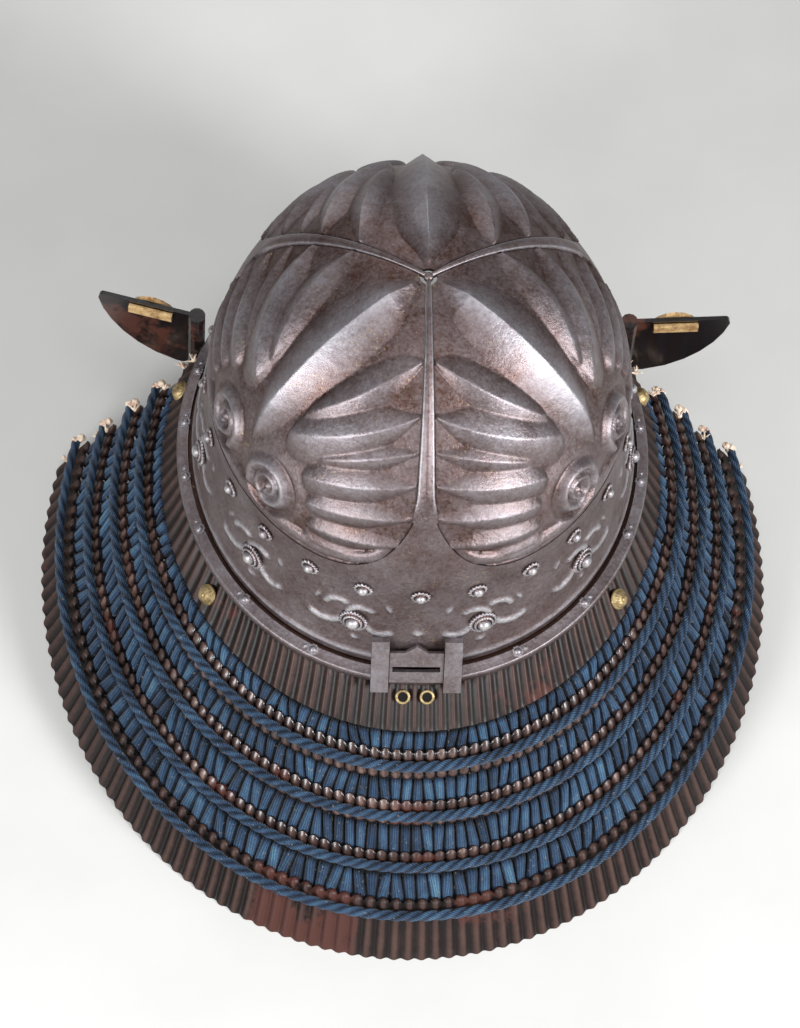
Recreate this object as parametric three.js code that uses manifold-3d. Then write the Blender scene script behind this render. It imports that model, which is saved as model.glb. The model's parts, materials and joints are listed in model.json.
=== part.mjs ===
// Kabuto, a samurai helmet: an embossed iron bowl over a skirt of five laced lames.
// Millimetres, Z up. The visor faces -Y and the skirt's lower edge stands on z = 0.
import * as THREE from 'three';
import { mergeVertices } from 'three/addons/utils/BufferGeometryUtils.js';
import Module from 'manifold-3d';

const wasm = await Module();
wasm.setup();

// Clearances between neighbouring pieces
const GAP = 0.35;
const DEG = Math.PI / 180;

// Bowl: three embossed panels over a deep lower band
const RIM_Z = 115;
const RIM_HALF_WIDTH = 107;
const RIM_HALF_LENGTH = 118;
const ROW_RISE = 56;
const ROW_HALF_WIDTH = 100.5;
const ROW_HALF_LENGTH = 109;
const CROWN_RISE = 109;
const CROWN_POINT = 1.9;
const BOWL_WALL = 2.2;
const BAND_PROUD = 1.2;
const RIB_COUNT = 3;
const RIB_HALF_WIDTH = 4.6;
const RIB_TIP_HALF_WIDTH = 0.9;
const RIB_PROUD = 2.3;
const HUB_RADIUS = 2.6;

// Embossed palmette on each panel
const PETAL_HEIGHT = 2.6;
const SPINE_HEIGHT = 3.0;
const VOLUTE_HEIGHT = 2.6;
const VOLUTE_RADIUS = 10;
const VOLUTE = { across: 0.21, down: 0.78 };
const PETAL_EDGES = [62, 54, 45, 35, 18, -2, -16, -40];

// Panel outline: share of the crown's arc at mid panel, and its rise toward the ribs
const PANEL_TOP = 0.026;
const PANEL_FOOT = 0.93;
const PANEL_CORNER_RISE = 0.24;
const PANEL_CORNER_POWER = 6;

// Flange under the band, which carries the skirt
const RING_REACH = 8.5;
const RING_FALL = 4.2;
const RING_WALL = 2.4;
const RING_END_ANGLE = -46;

// Visor
const VISOR_HALF_ANGLE = 41;
const VISOR_REACH = 34;
const VISOR_FALL = 13;
const VISOR_WALL = 2.4;

// Skirt of lames
const SKIRT_TOP_Z = 107.9;
const SKIRT_TOP_REACH = 5;
const SKIRT_TOP_HALF_WIDTH = RIM_HALF_WIDTH + SKIRT_TOP_REACH;
const SKIRT_TOP_HALF_LENGTH = RIM_HALF_LENGTH + SKIRT_TOP_REACH * 1.1;
const SKIRT_HALF_WIDTH = 183;
const SKIRT_HALF_LENGTH = 213;
const SKIRT_SETBACK = 10;
const SKIRT_BULGE = 0.87;
const SKIRT_SLANT = Math.hypot(SKIRT_TOP_Z, SKIRT_HALF_LENGTH + SKIRT_SETBACK - SKIRT_TOP_HALF_LENGTH);
const LAME_WALL = 2;
const LAME_END_Y = -50;
const TOP_LAME_END_Y = -56;
const TOP_FLUTE_PITCH = 6.7;
const FOOT_FLUTE_PITCH = 7.4;
const FLUTE_DEPTH = 0.9;
const LACING_WALL = 3.4;
const BRAID_HALF_WIDTH = 2.9;
const BRAID_HALF_HEIGHT = 2.3;
const BRAID_DROP = 0.052;

// Each lame's upper and lower edge as shares of the skirt's drop, and how far its face stands out there
const LAMES = [
  { name: 'lame_1', top: 0.0, bottom: 0.158, topOut: 0, bottomOut: 0, fluted: true, braid: false },
  { name: 'lame_2', top: 0.215, bottom: 0.318, topOut: 1.6, bottomOut: 0, fluted: false, braid: true },
  { name: 'lame_3', top: 0.393, bottom: 0.484, topOut: 1.6, bottomOut: 0, fluted: false, braid: true },
  { name: 'lame_4', top: 0.58, bottom: 0.664, topOut: 1.6, bottomOut: 0, fluted: false, braid: true },
  { name: 'lame_5', top: 0.757, bottom: 1, topOut: 2.5, bottomOut: 0, fluted: true, braid: true },
];
const LACING_OVERLAP = 0.022;

// Turned-back plates: side, how far the tip turns forward, in degrees
const TURNBACKS = [
  { name: 'left', side: 1, toe: 15 },
  { name: 'right', side: -1, toe: 3 },
];
const TURNBACK_WIDTH = 50;
const TURNBACK_HEIGHT = 47;
const TURNBACK_WALL = 2.2;
const TURNBACK_TOP_Z = 136;
const TURNBACK_ROLL = 4.2;
const CREST_RADIUS = 12;
const CREST_WALL = 1.8;
const CREST_BAR = { width: 22, height: 4.6, depth: 2.4 };

// Rear crest bracket
const POST = { width: 8.4, depth: 4.2, length: 31, spacing: 35, seatShare: 1.64 };
const PLATE = { depth: 1.8, foot: 5, length: 18, slotWidth: 23, slotHeight: 3.2, slotAt: 6.4, peak: 4 };

// Studs
const ROW_STUD = { radius: 4, height: 2.8, share: 1.01 };
const ROW_STUD_ANGLES = [90, 74.7, 59.3, 44.3, 29, 13.7, -1.5, -17, -31];
const FRONT_STUD_ANGLES = [-62, -118];
const BOSS = { radius: 6, height: 4, share: 1.5 };
const BOSS_ANGLES = [73, 41.3, 9.5];
const BRASS = { radius: 5.2, height: 4 };
const BRASS_SEATS = [
  { angle: 33, drop: 0.085 },
  { angle: -17, drop: 0.085 },
];
const EYELET = { radius: 2.9, wire: 1, spacing: 11.6, drop: 0.045 };

// Mesh fineness
const PANEL_COLUMNS = 15;
const PANEL_ROWS = 11;
const BAND_COLUMNS = (PANEL_COLUMNS + 1) * RIB_COUNT;
const BAND_ROWS = 3;
const BAND_ROW_SHARES = [1, 1.45];
const RING_STATIONS = 34;
const SMOOTH_STATIONS = 32;
const RIB_STATIONS = 8;
const VISOR_STATIONS = 12;

const material = (color, metalness, roughness) =>
  new THREE.MeshStandardMaterial({ color, metalness, roughness });

const iron = () => material('#6b6464', 0.85, 0.45);
const lacquer = () => material('#2a211f', 0.1, 0.25);
const silk = () => material('#2a4668', 0, 0.85);
const brass = () => material('#b08a4a', 0.9, 0.35);
const gilt = () => material('#c9a46a', 0.95, 0.3);

const group = new THREE.Group();

function addMesh(name, geometry, finish) {
  const mesh = new THREE.Mesh(geometry, finish);
  mesh.name = name;
  group.add(mesh);
  return mesh;
}

function smoothstep(from, to, x) {
  const s = Math.min(1, Math.max(0, (x - from) / (to - from)));
  return s * s * (3 - 2 * s);
}

// How far a flat foot must stand off a curved surface so that its edge stays clear
const standOff = (radius, bend) => (radius * radius) / (2 * bend);

// Closed meshes from points and faces, turned outward by their signed volume
function closedGeometry(points, faces) {
  let volume = 0;
  for (const [a, b, c] of faces) {
    volume += points[a].dot(points[b].clone().cross(points[c]));
  }
  const index = faces.flatMap(([a, b, c]) => (volume < 0 ? [a, c, b] : [a, b, c]));
  const geometry = new THREE.BufferGeometry();
  const flat = points.flatMap((p) => [p.x, p.y, p.z]);
  geometry.setAttribute('position', new THREE.Float32BufferAttribute(flat, 3));
  geometry.setIndex(index);
  geometry.computeVertexNormals();
  return geometry;
}

// A section carried through stations; both ends are capped unless it closes on itself
function carried(sections, closesOnItself = false) {
  const count = sections[0].length;
  const points = sections.flat();
  const faces = [];
  const spans = closesOnItself ? sections.length : sections.length - 1;
  for (let i = 0; i < spans; i += 1) {
    const here = i * count;
    const next = ((i + 1) % sections.length) * count;
    for (let j = 0; j < count; j += 1) {
      const k = (j + 1) % count;
      faces.push([here + j, next + j, next + k]);
      faces.push([here + j, next + k, here + k]);
    }
  }
  if (!closesOnItself) {
    const last = (sections.length - 1) * count;
    for (let j = 1; j < count - 1; j += 1) {
      faces.push([0, j, j + 1]);
      faces.push([last, last + j + 1, last + j]);
    }
  }
  return closedGeometry(points, faces);
}

// A wall between an outer and an inner grid of the same fineness
function walled(columns, rows, pointAt, wraps = false) {
  const lines = wraps ? columns : columns + 1;
  const points = [];
  for (const face of ['outer', 'inner']) {
    for (let i = 0; i < lines; i += 1) {
      for (let j = 0; j <= rows; j += 1) {
        points.push(pointAt(i / columns, j / rows, face));
      }
    }
  }
  const inner = lines * (rows + 1);
  const at = (i, j) => (i % lines) * (rows + 1) + j;
  const faces = [];
  const quad = (a, b, c, d) => faces.push([a, b, c], [a, c, d]);
  for (let i = 0; i < columns; i += 1) {
    for (let j = 0; j < rows; j += 1) {
      quad(at(i, j), at(i + 1, j), at(i + 1, j + 1), at(i, j + 1));
      quad(inner + at(i, j), inner + at(i, j + 1), inner + at(i + 1, j + 1), inner + at(i + 1, j));
    }
    quad(at(i, 0), inner + at(i, 0), inner + at(i + 1, 0), at(i + 1, 0));
    quad(at(i, rows), at(i + 1, rows), inner + at(i + 1, rows), inner + at(i, rows));
  }
  if (!wraps) {
    for (let j = 0; j < rows; j += 1) {
      quad(at(0, j), at(0, j + 1), inner + at(0, j + 1), inner + at(0, j));
      quad(at(columns, j), inner + at(columns, j), inner + at(columns, j + 1), at(columns, j + 1));
    }
  }
  return closedGeometry(points, faces);
}

function solidOf(geometry) {
  const bare = geometry.clone();
  bare.deleteAttribute('normal');
  bare.deleteAttribute('uv');
  const merged = mergeVertices(bare, 1e-4);
  return new wasm.Manifold(new wasm.Mesh({
    numProp: 3,
    vertProperties: new Float32Array(merged.attributes.position.array),
    triVerts: new Uint32Array(merged.index.array),
  }));
}

function geometryOf(solid) {
  const mesh = solid.getMesh();
  const geometry = new THREE.BufferGeometry();
  const places = new Float32Array(mesh.numVert * 3);
  for (let i = 0; i < mesh.numVert; i += 1) {
    for (let k = 0; k < 3; k += 1) {
      places[i * 3 + k] = mesh.vertProperties[i * mesh.numProp + k];
    }
  }
  geometry.setAttribute('position', new THREE.BufferAttribute(places, 3));
  geometry.setIndex(new THREE.BufferAttribute(new Uint32Array(mesh.triVerts), 1));
  geometry.computeVertexNormals();
  return geometry;
}

// Bowl surface: share 0 at the apex, 1 at the row of studs, 2 at the band's lower edge
function bowlProfile(share) {
  if (share <= 1) {
    const r = Math.sin((share * Math.PI) / 2);
    const rise = Math.sqrt(Math.max(0, 1 - r ** CROWN_POINT));
    return {
      halfWidth: ROW_HALF_WIDTH * r,
      halfLength: ROW_HALF_LENGTH * r,
      z: RIM_Z + ROW_RISE + CROWN_RISE * rise,
    };
  }
  const below = share - 1;
  const flare = below ** 1.3;
  return {
    halfWidth: ROW_HALF_WIDTH + (RIM_HALF_WIDTH - ROW_HALF_WIDTH) * flare,
    halfLength: ROW_HALF_LENGTH + (RIM_HALF_LENGTH - ROW_HALF_LENGTH) * flare,
    z: RIM_Z + ROW_RISE * (1 - below),
  };
}

function bowlBase(angle, share) {
  const { halfWidth, halfLength, z } = bowlProfile(share);
  return new THREE.Vector3(halfWidth * Math.cos(angle), halfLength * Math.sin(angle), z);
}

function normalOf(surface, a, b, step) {
  const alongA = surface(a + step, b).sub(surface(a - step, b));
  const alongB = surface(a, b + step).sub(surface(a, b - step));
  const normal = alongA.cross(alongB).normalize();
  return normal;
}

function bowlNormal(angle, share) {
  const normal = normalOf(bowlBase, angle, Math.max(share, 0.01), 0.004);
  const outward = bowlBase(angle, share).setZ(0);
  outward.z = share < 1 ? CROWN_RISE : 0;
  return normal.dot(outward) < 0 ? normal.negate() : normal;
}

function bowlPoint(angle, share, offset) {
  return bowlBase(angle, share).addScaledVector(bowlNormal(angle, share), offset);
}

// Ribs stand at the rear and at 120 degrees to each side of it
const ribAngle = (i) => Math.PI / 2 + (i * 2 * Math.PI) / RIB_COUNT;
const RIB_FOOT = PANEL_FOOT - PANEL_CORNER_RISE;

function ribHalfWidth(share) {
  const grown = Math.min(1, share / RIB_FOOT) ** 1.1;
  return RIB_TIP_HALF_WIDTH + (RIB_HALF_WIDTH - RIB_TIP_HALF_WIDTH) * grown;
}

function panelFoot(u) {
  return PANEL_FOOT - PANEL_CORNER_RISE * Math.abs(2 * u - 1) ** PANEL_CORNER_POWER;
}

function angleAcross(length, share) {
  const { halfWidth, halfLength } = bowlProfile(share);
  return length / Math.min(halfWidth, halfLength);
}

// Grid lines crowd toward both ends of a panel, where its outline turns
const crowded = (i) => i - 0.085 * Math.sin(2 * Math.PI * i);

// Relief of one palmette, from the distance off the panel's mid line and the share down the crown
function palmette(q, share) {
  const lengthDown = (ROW_HALF_LENGTH * Math.PI) / 2;
  const across = ((q - VOLUTE.across) / (1 - VOLUTE.across)) * 50;
  const up = (VOLUTE.down - share) * lengthDown;
  const reach = Math.hypot(across, up);
  const turn = Math.atan2(up, across) / DEG;
  const edgeFade = 1 - smoothstep(0.93, 1, q);
  let height = SPINE_HEIGHT * Math.exp(-((q / 0.2) ** 2));
  height *= smoothstep(0.04, 0.22, share) * (1 - smoothstep(0.7, 0.86, share));
  for (let k = 0; k < PETAL_EDGES.length - 1; k += 1) {
    const from = PETAL_EDGES[k];
    const to = PETAL_EDGES[k + 1];
    if (turn <= from && turn > to) {
      const s = (from - turn) / (from - to);
      const rounded = Math.sin(Math.PI * s) ** 0.7;
      const grown = smoothstep(VOLUTE_RADIUS * 0.9, VOLUTE_RADIUS * 2, reach);
      height = Math.max(height, PETAL_HEIGHT * rounded * grown);
    }
  }
  const curl = Math.hypot((q - VOLUTE.across) * 95, up);
  height = Math.max(height, VOLUTE_HEIGHT * Math.exp(-(((curl - VOLUTE_RADIUS) / 4) ** 2)));
  height = Math.max(height, VOLUTE_HEIGHT * 0.8 * Math.exp(-((curl / 4) ** 2)));
  return height * edgeFade;
}

function buildPanel(name, first) {
  const start = ribAngle(first);
  const span = (2 * Math.PI) / RIB_COUNT;
  const pointAt = (i, j, face) => {
    const foot = panelFoot(crowded(i));
    const share = PANEL_TOP + (foot - PANEL_TOP) * j;
    const margin = angleAcross(ribHalfWidth(share) + GAP, share);
    const angle = start + margin + (span - 2 * margin) * crowded(i);
    const u = (angle - start) / span;
    const top = smoothstep(0, 0.12, j) * (1 - smoothstep(0.94, 1, j));
    const relief = face === 'outer' ? palmette(Math.abs(2 * u - 1), share) * top : -BOWL_WALL;
    return bowlPoint(angle, share, relief);
  };
  addMesh(name, walled(PANEL_COLUMNS, PANEL_ROWS, pointAt), iron());
}

function buildRibs() {
  let joined = null;
  for (let r = 0; r < RIB_COUNT; r += 1) {
    const angle = ribAngle(r);
    const sections = [];
    for (let i = 0; i <= RIB_STATIONS; i += 1) {
      const share = 0.008 + (RIB_FOOT - 0.003 - 0.008) * (i / RIB_STATIONS);
      const half = ribHalfWidth(share);
      const low = bowlPoint(angle, share, -BOWL_WALL);
      const high = bowlPoint(angle, share, 0.8);
      const crest = bowlPoint(angle, share, RIB_PROUD);
      const side = new THREE.Vector3(-Math.sin(angle), Math.cos(angle), 0).setLength(half);
      sections.push([
        low.clone().sub(side),
        high.clone().sub(side),
        crest,
        high.clone().add(side),
        low.clone().add(side),
      ]);
    }
    const rib = solidOf(carried(sections));
    joined = joined ? joined.add(rib) : rib;
  }
  const apex = RIM_Z + ROW_RISE + CROWN_RISE;
  const hub = new THREE.CylinderGeometry(HUB_RADIUS * 0.5, HUB_RADIUS, BOWL_WALL + RIB_PROUD, 12);
  hub.rotateX(Math.PI / 2);
  hub.translate(0, 0, apex + (RIB_PROUD - BOWL_WALL) / 2);
  addMesh('apex_ribs', geometryOf(joined.add(solidOf(hub))), iron());
}

// The band's upper edge meets the panels' feet column by column, with the rib's foot between two panels
function buildBand() {
  const steps = PANEL_COLUMNS + 1;
  const span = (2 * Math.PI) / RIB_COUNT;
  const pointAt = (i, j, face) => {
    const column = Math.round(i * BAND_COLUMNS) % BAND_COLUMNS;
    const start = ribAngle(Math.floor(column / steps));
    const across = crowded((column % steps) / PANEL_COLUMNS);
    const foot = panelFoot(across);
    const margin = angleAcross(ribHalfWidth(foot) + GAP, foot);
    const angle = start + margin + (span - 2 * margin) * across;
    const top = foot + (GAP * 2) / ((ROW_HALF_LENGTH * Math.PI) / 2);
    const share = [top, ...BAND_ROW_SHARES, 2][Math.round(j * BAND_ROWS)];
    const point = bowlPoint(angle, share, face === 'outer' ? BAND_PROUD : -BOWL_WALL);
    return j === 1 ? point.setZ(RIM_Z) : point;
  };
  addMesh('koshimaki_band', walled(BAND_COLUMNS, BAND_ROWS, pointAt, true), iron());
}

// Rim coordinates: an angle round the rim, a distance out from the band's foot, and a height
function rimPoint(angle, out, z) {
  return new THREE.Vector3(
    (RIM_HALF_WIDTH + out) * Math.cos(angle),
    (RIM_HALF_LENGTH + out) * Math.sin(angle),
    z,
  );
}

function buildRing() {
  const from = RING_END_ANGLE * DEG;
  const to = Math.PI - from;
  const top = RIM_Z - GAP;
  const sections = [];
  for (let i = 0; i <= RING_STATIONS; i += 1) {
    const angle = from + ((to - from) * i) / RING_STATIONS;
    sections.push([
      rimPoint(angle, -BOWL_WALL, top),
      rimPoint(angle, BAND_PROUD, top),
      rimPoint(angle, RING_REACH, top - RING_FALL),
      rimPoint(angle, RING_REACH, top - RING_FALL - RING_WALL),
      rimPoint(angle, -BOWL_WALL, top - RING_WALL),
    ]);
  }
  addMesh('rim_flange', carried(sections), iron());
}

function buildVisor() {
  const sections = [];
  for (let i = 0; i <= VISOR_STATIONS; i += 1) {
    const s = (2 * i) / VISOR_STATIONS - 1;
    const angle = -Math.PI / 2 + s * VISOR_HALF_ANGLE * DEG;
    const reach = 4 + (VISOR_REACH - 4) * (1 - s ** 2) ** 0.6;
    const fall = VISOR_FALL * (reach / VISOR_REACH);
    const root = BAND_PROUD + GAP;
    sections.push([
      rimPoint(angle, root, RIM_Z + VISOR_WALL * 1.6),
      rimPoint(angle, root + reach, RIM_Z + VISOR_WALL - fall),
      rimPoint(angle, root + reach, RIM_Z - fall),
      rimPoint(angle, root, RIM_Z + VISOR_WALL * 0.6),
    ]);
  }
  addMesh('visor', carried(sections), iron());
}

// Skirt surface: drop 0 under the flange, 1 at the floor; turn 0 and 1 at the two front ends
function skirtProfile(drop) {
  const eased = Math.sign(drop) * Math.abs(drop) ** SKIRT_BULGE;
  return {
    halfWidth: SKIRT_TOP_HALF_WIDTH + (SKIRT_HALF_WIDTH - SKIRT_TOP_HALF_WIDTH) * drop,
    halfLength: SKIRT_TOP_HALF_LENGTH + (SKIRT_HALF_LENGTH - SKIRT_TOP_HALF_LENGTH) * eased,
    setback: SKIRT_SETBACK * drop,
    z: SKIRT_TOP_Z * (1 - drop),
  };
}

function skirtBase(angle, drop) {
  const { halfWidth, halfLength, setback, z } = skirtProfile(drop);
  return new THREE.Vector3(halfWidth * Math.cos(angle), setback + halfLength * Math.sin(angle), z);
}

function skirtNormal(angle, drop) {
  const normal = normalOf(skirtBase, angle, Math.max(drop, 0.02), 0.004);
  return normal.z < 0 ? normal.negate() : normal;
}

function skirtPoint(angle, drop, offset) {
  return skirtBase(angle, drop).addScaledVector(skirtNormal(angle, drop), offset);
}

function skirtAngle(turn, drop, endY) {
  const { halfLength, setback } = skirtProfile(drop);
  const end = Math.asin((endY - setback) / halfLength);
  return end + (Math.PI - 2 * end) * turn;
}

function lameEnd(lame) {
  return lame === LAMES[0] ? TOP_LAME_END_Y : LAME_END_Y;
}

function lameStations(lame) {
  if (!lame.fluted) {
    return SMOOTH_STATIONS;
  }
  const middle = (lame.top + lame.bottom) / 2;
  let length = 0;
  let before = null;
  for (let i = 0; i <= 60; i += 1) {
    const here = skirtBase(skirtAngle(i / 60, middle, lameEnd(lame)), middle);
    length += before ? here.distanceTo(before) : 0;
    before = here;
  }
  return 2 * Math.round(length / (lame === LAMES[0] ? TOP_FLUTE_PITCH : FOOT_FLUTE_PITCH));
}

function lameFace(lame, drop) {
  const share = (drop - lame.top) / (lame.bottom - lame.top);
  return lame.topOut + (lame.bottomOut - lame.topOut) * share;
}

function buildLame(lame) {
  const stations = lameStations(lame);
  const sections = [];
  for (let i = 0; i <= stations; i += 1) {
    const turn = i / stations;
    const flute = lame.fluted ? FLUTE_DEPTH * (i % 2 ? -1 : 1) : 0;
    const corner = (drop, deep) => {
      const angle = skirtAngle(turn, drop, lameEnd(lame));
      return skirtPoint(angle, drop, lameFace(lame, drop) + flute - deep);
    };
    const section = [
      corner(lame.top, 0),
      corner(lame.bottom, 0),
      corner(lame.bottom, LAME_WALL),
      corner(lame.top, LAME_WALL),
    ];
    if (lame.bottom === 1) {
      for (const k of [1, 2]) {
        const above = section[k === 1 ? 0 : 3];
        const along = section[k].clone().sub(above);
        section[k].addScaledVector(along, -section[k].z / along.z).setZ(0);
      }
    }
    sections.push(section);
  }
  addMesh(lame.name, carried(sections), lacquer());
}

function buildLacing(index) {
  const upper = LAMES[index];
  const lower = LAMES[index + 1];
  const gapShare = GAP / SKIRT_SLANT;
  const from = upper.bottom + gapShare;
  const to = lower.top + LACING_OVERLAP;
  const behind = lameFace(lower, to) - LAME_WALL - GAP - (lower.fluted ? FLUTE_DEPTH : 0);
  const sections = [];
  for (let i = 0; i <= SMOOTH_STATIONS; i += 1) {
    const turn = i / SMOOTH_STATIONS;
    const corner = (drop, offset) => skirtPoint(skirtAngle(turn, drop, LAME_END_Y), drop, offset);
    sections.push([
      corner(from, behind + 0.8),
      corner(to, behind),
      corner(to, behind - LACING_WALL),
      corner(from, behind + 0.8 - LACING_WALL),
    ]);
  }
  addMesh(`lacing_${index + 1}`, carried(sections), silk());
}

function buildBraid(lame, index) {
  const drop = lame.top + BRAID_DROP;
  const seat = lameFace(lame, drop) + (lame.fluted ? FLUTE_DEPTH : 0) + GAP + BRAID_HALF_HEIGHT;
  const sides = 5;
  const along = BRAID_HALF_WIDTH / SKIRT_SLANT;
  const sections = [];
  for (let i = 0; i <= SMOOTH_STATIONS; i += 1) {
    const turn = i / SMOOTH_STATIONS;
    const section = [];
    for (let k = 0; k < sides; k += 1) {
      const a = (2 * Math.PI * (k + 0.5)) / sides;
      const at = drop + along * Math.cos(a);
      const angle = skirtAngle(turn, at, LAME_END_Y);
      section.push(skirtPoint(angle, at, seat + BRAID_HALF_HEIGHT * Math.sin(a)));
    }
    sections.push(section);
  }
  addMesh(`braid_${index + 1}`, carried(sections), silk());
}

// Turned-back plate: a straight top edge and a lower edge that sweeps up to the tip
function turnbackShape() {
  const shape = new THREE.Shape();
  shape.moveTo(0, 0);
  shape.lineTo(TURNBACK_WIDTH - 2, 0);
  shape.quadraticCurveTo(TURNBACK_WIDTH, -1, TURNBACK_WIDTH, -4);
  shape.bezierCurveTo(
    TURNBACK_WIDTH * 0.94, -TURNBACK_HEIGHT * 0.45,
    TURNBACK_WIDTH * 0.66, -TURNBACK_HEIGHT * 0.92,
    TURNBACK_WIDTH * 0.2, -TURNBACK_HEIGHT,
  );
  shape.lineTo(0, -TURNBACK_HEIGHT);
  return shape;
}

function buildTurnback({ name, side, toe }) {
  const drop = (LAMES[0].top + LAMES[0].bottom) / 2;
  const root = skirtBase(skirtAngle(0, drop, TOP_LAME_END_Y), drop);
  const place = new THREE.Matrix4().makeTranslation(
    side * root.x, TOP_LAME_END_Y - GAP - TURNBACK_ROLL, TURNBACK_TOP_Z,
  );
  place.multiply(new THREE.Matrix4().makeRotationZ(side > 0 ? -toe * DEG : toe * DEG));
  place.multiply(new THREE.Matrix4().makeScale(side, 1, 1));
  place.multiply(new THREE.Matrix4().makeRotationX(Math.PI / 2));
  const plate = new THREE.ExtrudeGeometry(turnbackShape(), {
    depth: TURNBACK_WALL,
    bevelEnabled: false,
    curveSegments: 6,
  });
  plate.translate(0, 0, -TURNBACK_WALL / 2);
  const roll = new THREE.CylinderGeometry(TURNBACK_ROLL, TURNBACK_ROLL, TURNBACK_HEIGHT, 12);
  roll.translate(0, -TURNBACK_HEIGHT / 2, 0);
  const solid = solidOf(plate).add(solidOf(roll));
  const geometry = geometryOf(solid);
  addPlaced(`turnback_${name}`, geometry, place, lacquer());

  const disc = new THREE.CylinderGeometry(CREST_RADIUS, CREST_RADIUS, CREST_WALL, 16);
  disc.rotateX(Math.PI / 2);
  disc.translate(TURNBACK_WIDTH * 0.46, -CREST_RADIUS + 1.5, TURNBACK_WALL / 2 + GAP + CREST_WALL / 2);
  addPlaced(`crest_disc_${name}`, disc, place, gilt());
  const bar = new THREE.BoxGeometry(CREST_BAR.width, CREST_BAR.height, CREST_BAR.depth);
  bar.translate(
    TURNBACK_WIDTH * 0.46,
    -CREST_BAR.height / 2 - 1.5,
    -TURNBACK_WALL / 2 - GAP - CREST_BAR.depth / 2,
  );
  addPlaced(`crest_bar_${name}`, bar, place, gilt());
}

// Puts a geometry at its place, with its faces turned back where the place mirrors it
function addPlaced(name, geometry, place, finish) {
  const placed = geometry.clone();
  placed.applyMatrix4(place);
  if (place.determinant() < 0) {
    const index = placed.index.array;
    for (let i = 0; i < index.length; i += 3) {
      [index[i], index[i + 1]] = [index[i + 1], index[i]];
    }
  }
  placed.computeVertexNormals();
  addMesh(name, placed, finish);
}

// How far the band curves away between its rear centre and the inner edges of the posts
const BAND_BEND = RIM_HALF_WIDTH ** 2 / RIM_HALF_LENGTH;
const POST_SAG = ((POST.spacing - POST.width) / 2) ** 2 / (2 * BAND_BEND);

// Bracket: its posts' backs lie along the flange's edge and the band above it
function bracketPlace() {
  const low = {
    y: RIM_HALF_LENGTH + RING_REACH + GAP - POST_SAG,
    z: RIM_Z - GAP - RING_FALL,
  };
  const seat = bowlPoint(Math.PI / 2, POST.seatShare, BAND_PROUD + GAP - POST_SAG);
  const lean = Math.atan2(seat.z - low.z, seat.y - low.y);
  const place = new THREE.Matrix4().makeTranslation(0, low.y, low.z);
  place.multiply(new THREE.Matrix4().makeRotationX(lean));
  return place;
}

function buildBracket() {
  const place = bracketPlace();
  const foot = -3.4;
  for (const [name, side] of [['left', 1], ['right', -1]]) {
    const post = new THREE.BoxGeometry(POST.width, POST.length, POST.depth);
    post.translate((side * POST.spacing) / 2, foot + POST.length / 2, -POST.depth / 2);
    addPlaced(`bracket_post_${name}`, post, place, iron());
  }
  const half = (POST.spacing - POST.width) / 2 - GAP;
  const shape = new THREE.Shape();
  shape.moveTo(-half, 0);
  shape.lineTo(half, 0);
  shape.lineTo(half, PLATE.length);
  shape.lineTo(PLATE.peak * 1.4, PLATE.length);
  shape.lineTo(0, PLATE.length + PLATE.peak);
  shape.lineTo(-PLATE.peak * 1.4, PLATE.length);
  shape.lineTo(-half, PLATE.length);
  const slot = new THREE.Path();
  slot.moveTo(-PLATE.slotWidth / 2, PLATE.slotAt);
  slot.lineTo(-PLATE.slotWidth / 2, PLATE.slotAt + PLATE.slotHeight);
  slot.lineTo(PLATE.slotWidth / 2, PLATE.slotAt + PLATE.slotHeight);
  slot.lineTo(PLATE.slotWidth / 2, PLATE.slotAt);
  shape.holes.push(slot);
  const plate = new THREE.ExtrudeGeometry(shape, { depth: PLATE.depth, bevelEnabled: false });
  plate.translate(0, PLATE.foot - 3, -PLATE.depth - POST_SAG - GAP);
  addPlaced('bracket_plate', mergeVertices(stripped(plate), 1e-4), place, iron());
}

function stripped(geometry) {
  geometry.deleteAttribute('normal');
  geometry.deleteAttribute('uv');
  return geometry;
}

// A stud: a low washer under a dome, standing on a point of a surface along its normal
function studGeometry(radius, height, sides, steps) {
  const profile = [new THREE.Vector2(0, 0), new THREE.Vector2(radius, 0)];
  for (let i = 0; i < steps; i += 1) {
    const a = (i / steps) * (Math.PI / 2);
    const r = radius * 0.7 * Math.cos(a);
    profile.push(new THREE.Vector2(r, height * (0.45 + 0.55 * Math.sin(a))));
  }
  profile.push(new THREE.Vector2(0, height));
  const geometry = new THREE.LatheGeometry(profile, sides);
  geometry.rotateX(Math.PI / 2);
  return geometry;
}

function seatOn(name, geometry, foot, normal, finish) {
  const turn = new THREE.Quaternion().setFromUnitVectors(new THREE.Vector3(0, 0, 1), normal);
  const solid = mergeVertices(stripped(geometry), 1e-4);
  solid.applyQuaternion(turn);
  solid.translate(foot.x, foot.y, foot.z);
  solid.computeVertexNormals();
  addMesh(name, solid, finish);
}

function buildRowStuds() {
  const angles = [];
  for (const angle of ROW_STUD_ANGLES) {
    angles.push(angle);
    if (angle !== 90) {
      angles.push(180 - angle);
    }
  }
  angles.push(...FRONT_STUD_ANGLES);
  angles.forEach((degrees, i) => {
    const angle = degrees * DEG;
    const normal = bowlNormal(angle, ROW_STUD.share);
    const off = BAND_PROUD + GAP + standOff(ROW_STUD.radius, ROW_HALF_WIDTH);
    const foot = bowlPoint(angle, ROW_STUD.share, off);
    const geometry = studGeometry(ROW_STUD.radius, ROW_STUD.height, 7, 1);
    seatOn(`row_stud_${i + 1}`, geometry, foot, normal, iron());
  });
}

function buildBosses() {
  const angles = BOSS_ANGLES.flatMap((a) => [a, 180 - a]);
  angles.forEach((degrees, i) => {
    const angle = degrees * DEG;
    const normal = bowlNormal(angle, BOSS.share);
    const foot = bowlPoint(angle, BOSS.share, BAND_PROUD + GAP);
    seatOn(`boss_${i + 1}`, studGeometry(BOSS.radius, BOSS.height, 9, 2), foot, normal, iron());
  });
}

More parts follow.
